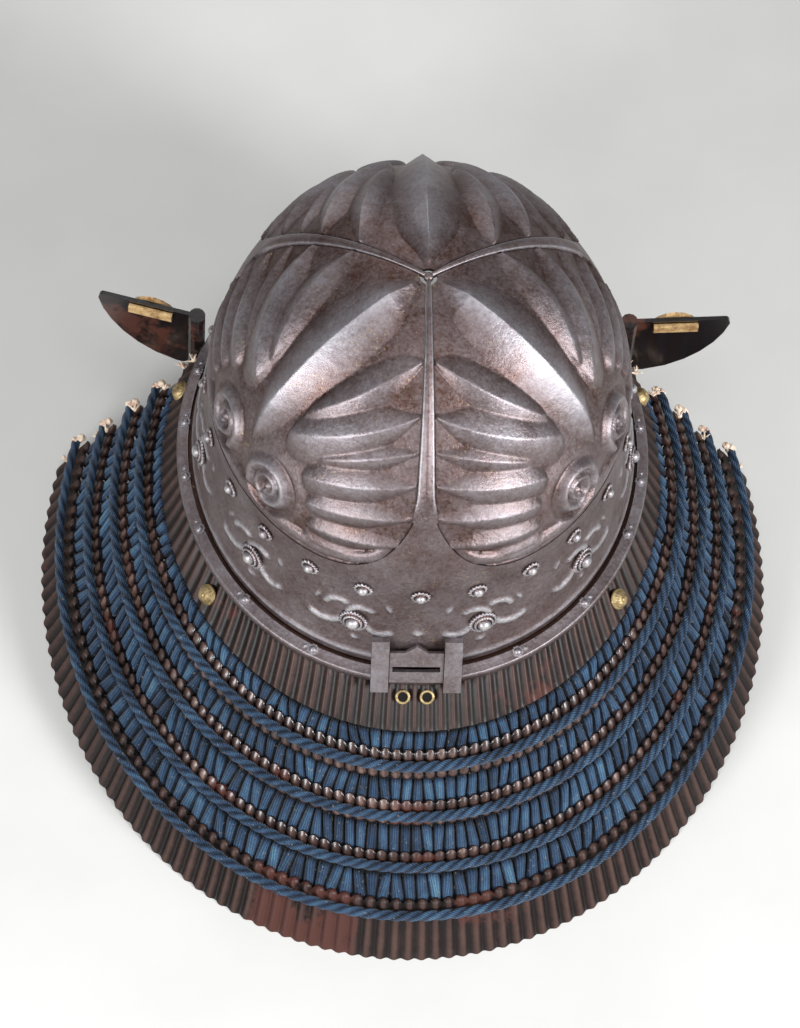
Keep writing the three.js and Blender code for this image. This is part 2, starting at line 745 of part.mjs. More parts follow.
function buildBrassStuds() {
  const seats = BRASS_SEATS.flatMap(({ angle, drop }) => [{ angle, drop }, { angle: 180 - angle, drop }]);
  seats.forEach(({ angle, drop }, i) => {
    const normal = skirtNormal(angle * DEG, drop);
    const foot = skirtPoint(angle * DEG, drop, FLUTE_DEPTH + GAP);
    const geometry = studGeometry(BRASS.radius, BRASS.height, 9, 2);
    seatOn(`brass_stud_${i + 1}`, geometry, foot, normal, brass());
  });
}

function buildEyelets() {
  for (const [name, side] of [['left', 1], ['right', -1]]) {
    const { halfWidth } = skirtProfile(EYELET.drop);
    const angle = Math.PI / 2 - (side * EYELET.spacing) / 2 / halfWidth;
    const normal = skirtNormal(angle, EYELET.drop);
    const foot = skirtPoint(angle, EYELET.drop, FLUTE_DEPTH + EYELET.wire * 0.7);
    const geometry = new THREE.TorusGeometry(EYELET.radius, EYELET.wire, 5, 10);
    seatOn(`eyelet_${name}`, geometry, foot, normal, brass());
  }
}

// Counted from the rear rib round by the visor's left, with the helmet facing -Y
['panel_right', 'panel_front', 'panel_left'].forEach(buildPanel);
buildRibs();
buildBand();
buildRing();
buildVisor();
LAMES.forEach(buildLame);
for (let i = 0; i < LAMES.length - 1; i += 1) {
  buildLacing(i);
}
LAMES.forEach((lame, i) => {
  if (lame.braid) {
    buildBraid(lame, i);
  }
});
TURNBACKS.forEach(buildTurnback);
buildBracket();
buildRowStuds();
buildBosses();
buildBrassStuds();
buildEyelets();

// The origin stands under the middle of the whole helmet
const extent = new THREE.Box3().setFromObject(group);
group.position.x = -(extent.min.x + extent.max.x) / 2;
group.position.y = -(extent.min.y + extent.max.y) / 2;

export default group;
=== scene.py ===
"""Kabuto helmet: an embossed russet-iron bowl over a skirt of lacquered lames laced in indigo silk.

The CAD model is the frame. Every form here is worked out in its millimetres, with the bowl's centre on
the axis, and is written to its mesh in metres in the row frame.
"""

import json
import logging
import math
from dataclasses import dataclass
from enum import Enum
from typing import Callable

import bmesh
import bpy
import numpy as np
from mathutils import Matrix, Vector

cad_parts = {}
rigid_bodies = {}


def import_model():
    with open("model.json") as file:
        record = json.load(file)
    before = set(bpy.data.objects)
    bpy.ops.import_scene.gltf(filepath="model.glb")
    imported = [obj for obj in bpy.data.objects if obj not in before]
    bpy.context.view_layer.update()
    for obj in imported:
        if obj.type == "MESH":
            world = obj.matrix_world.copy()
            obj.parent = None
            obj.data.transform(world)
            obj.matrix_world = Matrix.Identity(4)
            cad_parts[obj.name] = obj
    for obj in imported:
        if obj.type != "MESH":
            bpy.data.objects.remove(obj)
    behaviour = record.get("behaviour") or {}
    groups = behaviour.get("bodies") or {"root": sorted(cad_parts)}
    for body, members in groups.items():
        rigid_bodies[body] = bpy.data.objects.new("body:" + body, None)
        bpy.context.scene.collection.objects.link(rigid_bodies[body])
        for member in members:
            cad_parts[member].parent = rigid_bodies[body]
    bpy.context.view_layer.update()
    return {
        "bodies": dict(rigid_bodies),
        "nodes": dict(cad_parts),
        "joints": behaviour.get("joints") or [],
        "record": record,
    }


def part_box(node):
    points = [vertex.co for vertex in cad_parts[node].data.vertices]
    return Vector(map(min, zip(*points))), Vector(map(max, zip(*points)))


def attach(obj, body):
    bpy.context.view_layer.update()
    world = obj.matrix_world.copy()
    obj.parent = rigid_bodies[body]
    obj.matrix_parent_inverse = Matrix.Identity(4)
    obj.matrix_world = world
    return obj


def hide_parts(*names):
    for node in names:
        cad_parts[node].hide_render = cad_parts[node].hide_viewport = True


log = logging.getLogger("kabuto")
Array = np.ndarray
Surface = Callable[[Array, Array], Array]
Material = bpy.types.Material
Socket = bpy.types.NodeSocket
DEG = math.pi / 180
THIRD = 2 * math.pi / 3
UP = np.array([0, 0, 1.0])
SEED = 1603
# Both are set by main() from the frame: the bowl's centre in millimetres, and the helmet's one body
ORIGIN: Array
BODY: str


class Panel(Enum):
    """The three bowl panels, by the rib that each starts from."""

    RIGHT = 0
    FRONT = 1
    LEFT = 2


class Emboss(Enum):
    """The small raised figures of the bowl's band."""

    RIBBON = "ribbon"
    LEAF = "leaf"


def smoothstep(low: float, high: float, x: Array) -> Array:
    """Rise from 0 at low to 1 at high with level ends: 3t squared less 2t cubed."""
    t = np.clip((x - low) / (high - low), 0, 1)
    return t * t * (3 - 2 * t)


def bump(x: Array, width: float) -> Array:
    """Bell of height 1 at x = 0, falling as exp of minus (x / width) squared."""
    return np.exp(-((x / width) ** 2))


def circle(count: int) -> Array:
    """Angles evenly spaced round a full turn."""
    return np.linspace(0, 2 * np.pi, count, endpoint=False)


def wrapped(degrees: Array) -> Array:
    """A bearing brought within half a turn of 0."""
    return (degrees + 180) % 360 - 180


def crowded(count: int) -> Array:
    """Shares from 0 to 1, closer together near both ends: i less a twentieth of the sine of 2 pi i."""
    i = np.linspace(0, 1, count + 1)
    return i - 0.05 * np.sin(2 * np.pi * i)


def there_and_back(front: int, back: int) -> tuple[Array, Array]:
    """Shares of the way down a wall's front and up its back, and which of them are on the front."""
    down = np.concatenate([np.linspace(0, 1, front), np.linspace(1, 0, back)])[None]
    return down, (np.arange(front + back) < front)[None]


def seated(local: Array, seat: Array) -> Array:
    """Points of a seat's own frame, in the helmet's."""
    return local @ seat[:3, :3].T + seat[:3, 3]


def seat_at(point: Array, normal: Array, toward: Array = UP) -> Array:
    """Frame on a surface: Z along the normal, Y as near to toward as it can be, X across.

    Args:
        point: Foot of the frame in millimetres.
        normal: Unit normal.
        toward: Direction for Y before it is made square to the normal.

    Returns:
        A four by four matrix.
    """
    up = toward - normal * (toward @ normal)
    up = up / np.linalg.norm(up)
    seat = np.eye(4)
    seat[:3] = np.stack([np.cross(up, normal), up, normal, point], -1)
    return seat


def normals_of(surface: Surface, a: Array, b: Array, step: float = 0.004) -> Array:
    """Unit normals of a surface, outward for the bowl and the skirt.

    The cross product of the central differences along b and along a, over its own length.

    Args:
        surface: The surface as a function of two parameters.
        a: Angle round the helmet.
        b: Share down the surface.
        step: Half the distance between the two samples.

    Returns:
        Unit vectors, in the last axis.
    """
    along_a = surface(a + step, b) - surface(a - step, b)
    along_b = surface(a, b + step) - surface(a, b - step)
    normal = np.cross(along_b, along_a)
    return normal / np.linalg.norm(normal, axis=-1, keepdims=True)


@dataclass(frozen=True)
class BowlForm:
    """The bowl's surface: share 0 at the apex, 1 at the row of studs, 2 at the band's lower edge."""

    rim_z: float = 115.0
    rim_half_width: float = 107.0
    rim_half_length: float = 118.0
    row_rise: float = 56.0
    row_half_width: float = 100.5
    row_half_length: float = 109.0
    crown_rise: float = 109.0
    crown_point: float = 1.9
    wall: float = 2.2
    gap: float = 0.35
    rib_half_width: float = 4.6
    rib_tip_half_width: float = 0.9
    panel_foot: float = 0.93
    corner_rise: float = 0.24
    corner_power: float = 6.0

    def base(self, angle: Array, share: Array) -> Array:
        """Point of the bare surface: an ellipse whose radii grow as a sine down to the studs, then flare.

        Args:
            angle: Angle round the helmet in radians, a quarter turn at the rear.
            share: Share down the surface.

        Returns:
            Points in millimetres.
        """
        radius = np.sin(np.clip(share, -1, 1) * np.pi / 2)
        rise = np.sqrt(np.maximum(0, 1 - np.abs(radius) ** self.crown_point))
        below = np.maximum(share - 1, 0)
        flare = below**1.3
        half_width = self.row_half_width * radius + (self.rim_half_width - self.row_half_width) * flare
        half_length = self.row_half_length * radius + (self.rim_half_length - self.row_half_length) * flare
        z = self.rim_z + self.row_rise * (1 - below) + self.crown_rise * rise
        return np.stack(np.broadcast_arrays(half_width * np.cos(angle), half_length * np.sin(angle), z), -1)

    def normal(self, angle: Array, share: Array) -> Array:
        """Outward unit normal at an angle and a share."""
        return normals_of(self.base, angle, np.maximum(share, 0.01))

    def point(self, angle: Array, share: Array, out: Array) -> Array:
        """Surface point moved out along the normal by out millimetres."""
        angle, share, out = np.broadcast_arrays(*map(np.asarray, (angle, share, out)))
        return self.base(angle, share) + self.normal(angle, share) * out[..., None]

    @property
    def crown_length(self) -> float:
        """Length of the crown from the apex to the studs, as a quarter circle of the longer radius."""
        return self.row_half_length * math.pi / 2

    @property
    def rib_foot(self) -> float:
        """Share where a rib ends."""
        return self.panel_foot - self.corner_rise

    def rib_half(self, share: Array) -> Array:
        """Half width of a rib, growing from the apex to its foot as a power of the share."""
        grown = np.minimum(1, share / self.rib_foot) ** 1.1
        return self.rib_tip_half_width + (self.rib_half_width - self.rib_tip_half_width) * grown

    def margin(self, share: Array) -> Array:
        """Angle that half a rib and its gap take up, as their width over the radius at the share."""
        return (self.rib_half(share) + self.gap) / (self.row_half_width * np.sin(share * np.pi / 2))

    def foot(self, u: Array) -> Array:
        """Share of a panel's lower edge, level in the middle and turned up at both corners."""
        return self.panel_foot - self.corner_rise * np.abs(2 * u - 1) ** self.corner_power

    def rim(self, angle: Array, out: Array, z: Array) -> Array:
        """Point round the rim, on an ellipse whose radii grow by the distance out.

        Args:
            angle: Angle round the helmet in radians.
            out: Distance out from the band's foot.
            z: Height over the floor.

        Returns:
            Points in millimetres.
        """
        x = (self.rim_half_width + out) * np.cos(angle)
        y = (self.rim_half_length + out) * np.sin(angle)
        return np.stack(np.broadcast_arrays(x, y, z), -1)


@dataclass(frozen=True)
class SkirtForm:
    """The skirt's surface: drop 0 under the flange and 1 at the floor, turn 0 and 1 at the front ends."""

    top_z: float = 107.9
    top_half_width: float = 112.0
    top_half_length: float = 123.5
    half_width: float = 183.0
    half_length: float = 213.0
    setback: float = 10.0
    bulge: float = 0.87
    end_y: float = -50.0
    top_end_y: float = -56.0
    slant: float = 147.9

    def half_width_at(self, drop: Array) -> Array:
        """Half the width at a drop, widening evenly."""
        return self.top_half_width + (self.half_width - self.top_half_width) * drop

    def half_length_at(self, drop: Array) -> Array:
        """Half the length at a drop, growing as a power of it."""
        eased = np.sign(drop) * np.abs(drop) ** self.bulge
        return self.top_half_length + (self.half_length - self.top_half_length) * eased

    def base(self, angle: Array, drop: Array) -> Array:
        """Point of the bare surface: ellipses that grow with the drop and move back evenly.

        Args:
            angle: Angle round the helmet in radians.
            drop: Share of the way down.

        Returns:
            Points in millimetres.
        """
        x = self.half_width_at(drop) * np.cos(angle)
        y = self.setback * drop + self.half_length_at(drop) * np.sin(angle)
        return np.stack(np.broadcast_arrays(x, y, self.top_z * (1 - drop)), -1)

    def point(self, angle: Array, drop: Array, out: Array) -> Array:
        """Surface point moved out along the normal.

        Args:
            angle: Angle round the helmet in radians.
            drop: Share of the way down.
            out: Distance out.

        Returns:
            Points in millimetres.
        """
        angle, drop, out = np.broadcast_arrays(*map(np.asarray, (angle, drop, out)))
        normal = normals_of(self.base, angle, np.maximum(drop, 0.02))
        return self.base(angle, drop) + normal * out[..., None]

    def angle(self, turn: Array, drop: Array, end_y: float) -> Array:
        """Angle round the helmet at a share of the way from one front end to the other."""
        end = np.arcsin((end_y - self.setback * drop) / self.half_length_at(drop))
        return end + (np.pi - 2 * end) * turn


BOWL = BowlForm()
SKIRT = SkirtForm()


@dataclass(frozen=True)
class Turning:
    """A turned shape.

    Each row holds a radius and a height in millimetres, the relief from 0 in a recess to 1 on a crest,
    and the share of the radius that a bead adds at its middle and that is cut away between two beads.
    """

    rows: Array | tuple[tuple[float, float, float, float], ...]
    sides: int
    beads: int = 0


class Shells:
    """Closed surfaces gathered for one mesh, with a relief value from 0 in a recess to 1 on a crest."""

    def __init__(self) -> None:
        """Start empty."""
        self.points: list[Array] = []
        self.relief: list[Array] = []
        self.strand: list[Array] = []
        self.quads: list[Array] = []
        self.caps: list[Array] = []
        self.count = 0

    def loft(self, grid: Array, relief: Array | float = 0.5, ring: bool = False, tube: bool = True,
             strand: Array | float = 0.0) -> None:
        """Add sections carried along a path.

        Neighbouring points of neighbouring sections make a four-sided face. A tube joins the last point
        of each section to its first, a ring joins the last section to the first, and what isn't a ring
        has its two end sections filled.

        Args:
            grid: Points as sections by points by three, in millimetres.
            relief: One value a point, or one for all.
            ring: The sections run round and meet.
            tube: Each section is itself closed.
            strand: For silk the count of threads passed on the way across, for lacquer how worn it is.
        """
        rows, cols = grid.shape[:2]
        at = self.count + np.arange(rows * cols).reshape(rows, cols)
        here = at if ring else at[:-1]
        there = np.roll(at, -1, 0) if ring else at[1:]
        quads = np.stack([here, there, np.roll(there, -1, 1), np.roll(here, -1, 1)], -1)
        if not tube:
            quads = quads[:, :-1]
        self.quads.append(quads.reshape(-1, 4))
        if not ring:
            self.caps += [at[0][::-1], at[-1]]
        self.points.append(grid.reshape(-1, 3))
        for values, given in ((self.relief, relief), (self.strand, strand)):
            values.append(np.broadcast_to(np.asarray(given, float), (rows, cols)).reshape(-1))
        self.count += rows * cols

    def turned(self, shape: Turning, seat: Array, size: float = 1.0) -> None:
        """Add a shape turned round its axis. Its beads follow a cosine of the turn.

        Args:
            shape: The rows of the profile, which starts and ends on the axis.
            seat: Four by four matrix whose Z is the axis.
            size: Factor on every length.
        """
        turn = circle(shape.sides)[:, None]
        radius, height, relief, bead = np.array(shape.rows, float).T[:, None]
        wide = size * radius * (1 + bead * np.cos(shape.beads * turn))
        local = np.stack(np.broadcast_arrays(wide * np.cos(turn), wide * np.sin(turn), size * height), -1)
        self.loft(seated(local, seat), relief, ring=True, tube=False)

    def build(self, name: str, finish: Material, replaces: tuple[str, ...] = (), slot: str = "",
              sharp: float = 50.0) -> None:
        """Write one object that rides on the body, with poles and seams merged and faces turned outward.

        Args:
            name: Name of the piece.
            finish: Its material.
            replaces: CAD nodes that it stands for.
            slot: Material slot of the record; not used.
            sharp: Angle in degrees past which an edge stays sharp.
        """
        points = (np.concatenate(self.points) + ORIGIN) / 1000
        quads = np.concatenate(self.quads)
        corners = np.concatenate([quads.reshape(-1), *self.caps])
        sizes = np.concatenate([np.full(len(quads), 4), [len(cap) for cap in self.caps]]).astype(np.int32)
        mesh = bpy.data.meshes.new(name)
        mesh.vertices.add(len(points))
        mesh.vertices.foreach_set("co", points.astype(np.float32).reshape(-1))
        mesh.loops.add(len(corners))
        mesh.loops.foreach_set("vertex_index", corners.astype(np.int32))
        mesh.polygons.add(len(sizes))
        starts = np.concatenate([[0], np.cumsum(sizes)[:-1]]).astype(np.int32)
        mesh.polygons.foreach_set("loop_start", starts)
        mesh.update(calc_edges=True)
        for key, values in (("relief", self.relief), ("strand", self.strand)):
            layer = mesh.attributes.new(key, "FLOAT", "POINT")
            layer.data.foreach_set("value", np.concatenate(values).astype(np.float32))
        work = bmesh.new()
        work.from_mesh(mesh)
        bmesh.ops.remove_doubles(work, verts=work.verts, dist=2e-6)
        bmesh.ops.recalc_face_normals(work, faces=work.faces)
        work.to_mesh(mesh)
        work.free()
        mesh.shade_smooth()
        mesh.set_sharp_from_angle(angle=sharp * DEG)
        mesh.materials.append(finish)
        piece = bpy.data.objects.new(name, mesh)
        bpy.context.scene.collection.objects.link(piece)
        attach(piece, BODY)
        if replaces:
            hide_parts(*replaces)
        log.info("%s: %d faces", name, len(mesh.polygons))


def linear(colour: str) -> tuple[float, float, float, float]:
    """An sRGB hex colour as linear red, green, blue and an alpha of 1."""
    parts = [int(colour[i:i + 2], 16) / 255 for i in (1, 3, 5)]
    return tuple(c / 12.92 if c <= 0.04045 else ((c + 0.055) / 1.055) ** 2.4 for c in parts) + (1.0,)


def add_node(tree: bpy.types.NodeTree, kind: str, inputs: dict | None = None,
             stops: tuple | None = None, **settings: object) -> bpy.types.Node:
    """Add a node with its settings, and set or link its sockets.

    Args:
        tree: Node tree that it goes into.
        kind: Node type name.
        inputs: Socket name or number to a value or to an output socket.
        stops: Positions and sRGB hex colours of a colour ramp.
        settings: Other properties of the node.

    Returns:
        The new node.
    """
    node = tree.nodes.new(kind)
    for key, value in settings.items():
        setattr(node, key, value)
    if stops:
        ramp = node.color_ramp.elements
        while len(ramp) < len(stops):
            ramp.new(0.5)
        for element, (position, colour) in zip(ramp, stops):
            element.position = position
            element.color = linear(colour)
    for key, value in (inputs or {}).items():
        if isinstance(value, bpy.types.NodeSocket):
            tree.links.new(value, node.inputs[key])
        else:
            node.inputs[key].default_value = value
    return node


class Shader:
    """A material while its nodes are added. Every pattern is sized in millimetres of object coordinates."""

    def __init__(self, name: str, **constants: float) -> None:
        """Make the material's tree.

        Args:
            name: Name of the material.
            constants: Shader sockets by name, with a line for each space.
        """
        self.material = bpy.data.materials.new(name)
        self.material.use_nodes = True
        self.tree = self.material.node_tree
        self.surface = self.tree.nodes["Principled BSDF"]
        for key, value in constants.items():
            self.surface.inputs[key.replace("_", " ")].default_value = value
        self.place = add_node(self.tree, "ShaderNodeTexCoord").outputs["Object"]

    def attribute(self, name: str) -> Socket:
        """A value that the mesh carries at each point."""
        return add_node(self.tree, "ShaderNodeAttribute", attribute_name=name).outputs["Fac"]

    def noise(self, size: float, detail: float = 3.0, rough: float = 0.55) -> Socket:
        """Noise whose patches are size millimetres across, as a factor from 0 to 1."""
        return add_node(self.tree, "ShaderNodeTexNoise", {
            "Vector": self.place, "Scale": 1000 / size, "Detail": detail, "Roughness": rough}).outputs["Fac"]

    def plus(self, first: Socket | float, second: Socket, share: float, base: float = -0.5) -> Socket:
        """First plus share times second moved by base."""
        moved = add_node(self.tree, "ShaderNodeMath", {0: second, 1: base}, operation="ADD").outputs[0]
        return add_node(self.tree, "ShaderNodeMath", {0: moved, 1: share, 2: first},
                        operation="MULTIPLY_ADD").outputs[0]

    def spread(self, value: Socket, low: float, high: float, start: float, end: float) -> Socket:
        """Start where the value is low or less, end where it is high or more, and evenly between."""
        return add_node(self.tree, "ShaderNodeMapRange", {
            "Value": value, "From Min": low, "From Max": high, "To Min": start, "To Max": end}).outputs[0]

    def ramp(self, value: Socket, *stops: tuple[float, str]) -> Socket:
        """Colour that runs through the stops."""
        return add_node(self.tree, "ShaderNodeValToRGB", {"Fac": value}, stops=stops).outputs[0]

    def over(self, base: Socket, colour: str, amount: Socket) -> Socket:
        """A colour laid over the base by an amount from 0 to 1."""
        return add_node(self.tree, "ShaderNodeMix", {0: amount, 6: base, 7: linear(colour)},
                        data_type="RGBA").outputs[2]

    def rough_grain(self, height: Socket, strength: float, distance_mm: float) -> None:
        """Roughen the surface by a height, for grain finer than the mesh."""
        grain = add_node(self.tree, "ShaderNodeBump", {
            "Strength": strength, "Distance": distance_mm / 1000, "Height": height})
        self.tree.links.new(grain.outputs[0], self.surface.inputs["Normal"])

    def done(self, colour: Socket, roughness: Socket | None = None) -> Material:
        """Link the colour and the roughness, and give back the material.

        Args:
            colour: Socket of the colour.
            roughness: Socket of the roughness where it varies.

        Returns:
            The finished material.
        """
        self.tree.links.new(colour, self.surface.inputs["Base Color"])
        if roughness is not None:
            self.tree.links.new(roughness, self.surface.inputs["Roughness"])
        return self.material


@dataclass(frozen=True)
class RussetIron:
    """Hammered iron with a lacquered rust patina: dark red-brown in recesses, rubbed grey on crests."""

    name: str
    recess: str = "#442d25"
    ground: str = "#6f6465"
    raised: str = "#918d91"
    rubbed: str = "#b6b2ae"
    rust: str = "#553024"
    dust: str = "#94805f"
    roughness: float = 0.42
    embossed: bool = True

    def build(self) -> Material:
        """Relief and three sizes of noise choose the colour, then rust and tan dust lie in patches.

        Returns:
            The finished material.
        """
        work = Shader(self.name, Metallic=0.8, Specular_IOR_Level=0.5)
        cloud, grain, speck = work.noise(26, 4), work.noise(1.6, 4, 0.7), work.noise(4.5, 2)
        level = work.attribute("relief") if self.embossed else work.plus(0.36, cloud, 0.2, 0.0)
        mixed = work.plus(work.plus(work.plus(level, cloud, 0.5), grain, 0.55), speck, 0.3)
        colour = work.ramp(mixed, (0.08, self.recess), (0.4, self.ground), (0.72, self.raised),
                           (1.0, self.rubbed))
        colour = work.over(colour, self.rust, work.spread(work.noise(9, 3), 0.58, 0.78, 0, 0.25))
        settled = work.plus(work.noise(1.3, 2, 0.6), work.noise(22, 2), 0.45)
        colour = work.over(colour, self.dust, work.spread(settled, 0.68, 0.76, 0, 0.7))
        work.rough_grain(work.plus(grain, work.noise(6, 2), 1.2), 0.55, 0.45)
        return work.done(colour, work.spread(work.plus(cloud, grain, 0.7), 0.25, 0.75,
                                             self.roughness - 0.06, self.roughness + 0.12))


@dataclass(frozen=True)
class UrushiLacquer:
    """Black-brown lacquer over iron lames: deep gloss, worn through to red-brown in patches."""

    name: str
    deep: str = "#120a08"
    middle: str = "#3a2823"
    brown: str = "#866a60"
    worn: str = "#40231d"
    gloss: float = 1.0

    def build(self) -> Material:
        """Relief lightens the crests toward brown, partly as rubbed wear and partly as painted highlight, and
        leaves the valleys near black as painted shade; large noise and the mesh's own patches lay the ground
        bare.

        Returns:
            The finished material.
        """
        work = Shader(self.name, Coat_Weight=0.2 * self.gloss, Coat_Roughness=0.15,
                      Specular_IOR_Level=0.2 + 0.25 * self.gloss)
        grain = work.noise(2.2, 3)
        mixed = work.plus(work.plus(work.attribute("relief"), work.noise(30, 4, 0.6), 0.9), grain, 0.35)
        # The deep stop is painted shade in the valleys; the brown stop on the crests is partly rubbed wear
        # and partly painted highlight
        colour = work.ramp(mixed, (0.12, self.deep), (0.55, self.middle), (0.95, self.brown))
        bare = work.plus(work.plus(work.noise(42, 5, 0.62), grain, 0.12), work.attribute("strand"), 0.15, 0.0)
        colour = work.over(colour, self.worn, work.spread(bare, 0.6, 0.66, 0, 1))
        work.rough_grain(grain, 0.12, 0.3)
        polish = 0.2 * self.gloss
        return work.done(colour, work.spread(mixed, 0, 1, 0.5 - polish, 0.62 - polish))


@dataclass(frozen=True)
class IndigoSilk:
    """Braided silk dyed with indigo: matt blue threads with a soft sheen, lighter toward teal on top, partly
    faded dye and partly painted highlight.
    """

    name: str
    shadow: str = "#05090f"
    blue: str = "#243449"
    lit: str = "#38536a"
    faded_and_lit: str = "#4a6877"
    bleached: str = "#7d7562"
    # Millimetres. Real fibres are too fine to show here, so they are drawn this coarse
    fibre: float = 0.7

    def build(self) -> Material:
        """Relief paints shade into the gaps and a highlight on the crests, a cosine of the thread count draws
        each thread with painted shade between threads, and noise fades the dye.

        Returns:
            The finished material.
        """
        work = Shader(self.name, Sheen_Weight=0.08, Sheen_Roughness=0.5, Roughness=0.9,
                      Specular_IOR_Level=0.15)
        fibre = work.noise(self.fibre, 2, 0.7)
        turned = add_node(work.tree, "ShaderNodeMath", {0: work.attribute("strand"), 1: 2 * math.pi},
                          operation="MULTIPLY").outputs[0]
        thread = add_node(work.tree, "ShaderNodeMath", {0: turned}, operation="COSINE").outputs[0]
        mixed = work.plus(work.plus(work.attribute("relief"), work.noise(16, 4, 0.65), 0.9), fibre, 0.45)
        # Each thread is lighter in its middle, with painted shade between threads
        mixed = work.plus(mixed, thread, 0.11, 0.0)
        # The darkest stop is painted shade in the gaps and the two lightest are painted highlight on the
        # crests, mixed with real fading from the noise
        colour = work.ramp(mixed, (0.12, self.shadow), (0.55, self.blue), (0.86, self.lit), (1.0, self.faded_and_lit))
        colour = work.over(colour, self.bleached, work.spread(work.noise(1.5, 1), 0.68, 0.76, 0, 0.5))
        work.rough_grain(work.plus(thread, fibre, 0.8), 0.6, 0.4)
        return work.done(colour)


@dataclass(frozen=True)
class RubbedMetal:
    """Brass or gilded copper, rubbed bright with brown tarnish in patches."""

    name: str
    bright: str = "#a48f66"
    tarnish: str = "#5e4b33"
    glint: str = "#c7b68f"
    roughness: float = 0.45
    metallic: float = 0.75

    def build(self) -> Material:
        """Noise mixes tarnish into the bright metal and dulls it there.

        Returns:
            The finished material.
        """
        work = Shader(self.name, Metallic=self.metallic)
        level = work.plus(work.noise(5, 4, 0.65), work.noise(0.8, 2), 0.4)
        colour = work.ramp(level, (0.3, self.tarnish), (0.55, self.bright), (0.9, self.glint))
        return work.done(colour, work.spread(level, 0, 1, self.roughness + 0.25, self.roughness - 0.1))


@dataclass(frozen=True)
class PlainFinish:
    """A dull surface with a little mottling: frayed silk ends, the painted shade of a hole, the studio floor.
    """

    name: str
    colour: str = "#ddcfba"
    second: str = "#ab8775"
    size: float = 2.0
    roughness: float = 0.85

    def build(self) -> Material:
        """Noise between two close colours."""
        work = Shader(self.name, Roughness=self.roughness, Specular_IOR_Level=0.2)
        return work.done(work.ramp(work.noise(self.size), (0.35, self.colour), (0.65, self.second)))


@dataclass(frozen=True)
class Petal:
    """One petal of the fan, by three places of its centre line, from the mid line at 0 to the rib at 1."""

    root_across: float
    root_down: float
    middle_down: float
    tip_across: float
    tip_down: float
    half: float
    height: float

    def relief(self, across: Array, share: Array) -> Array:
        """Height in millimetres, below 0 outside the petal.

        The centre line is the parabola through root, middle and tip. The half width is a product of
        powers of the way from the root and of the way to the tip, so it is widest near the root. The
        section is a gable, a little rounded, and its height grows with the width.

        Args:
            across: Share of the way from the panel's mid line to its rib.
            share: Share down the bowl.

        Returns:
            Heights, -1 where there is no petal.
        """
        s = np.clip((across - self.root_across) / (self.tip_across - self.root_across), 1e-4, 1)
        centre = (self.root_down * (1 - s) * (1 - 2 * s) + self.middle_down * 4 * s * (1 - s)
                  + self.tip_down * s * (2 * s - 1))
        half = self.half * 2.36 * s**0.38 * (1 - s) ** 1.15 + 1e-4
        side = (share - centre) / half
        gable = 1 - 0.9 * np.abs(side) - 0.1 * side**2
        rise = self.height * (0.3 + 0.7 * np.minimum(1, 2.2 * s**0.38 * (1 - s) ** 0.9))
        inside = (across > self.root_across) & (across < self.tip_across)
        return np.where(inside, rise * gable, -1)


PETALS = (
    Petal(0.190, 0.525, 0.335, 0.975, 0.240, 0.105, 4.2),
    Petal(0.165, 0.600, 0.475, 0.975, 0.385, 0.112, 5.2),
    Petal(0.380, 0.605, 0.530, 0.980, 0.487, 0.056, 3.4),
    Petal(0.340, 0.675, 0.617, 0.980, 0.584, 0.078, 4.6),
    Petal(0.400, 0.748, 0.708, 0.980, 0.686, 0.058, 3.9),
    Petal(0.430, 0.818, 0.795, 0.960, 0.780, 0.050, 3.5),
    Petal(0.420, 0.874, 0.864, 0.900, 0.868, 0.038, 2.6),
)


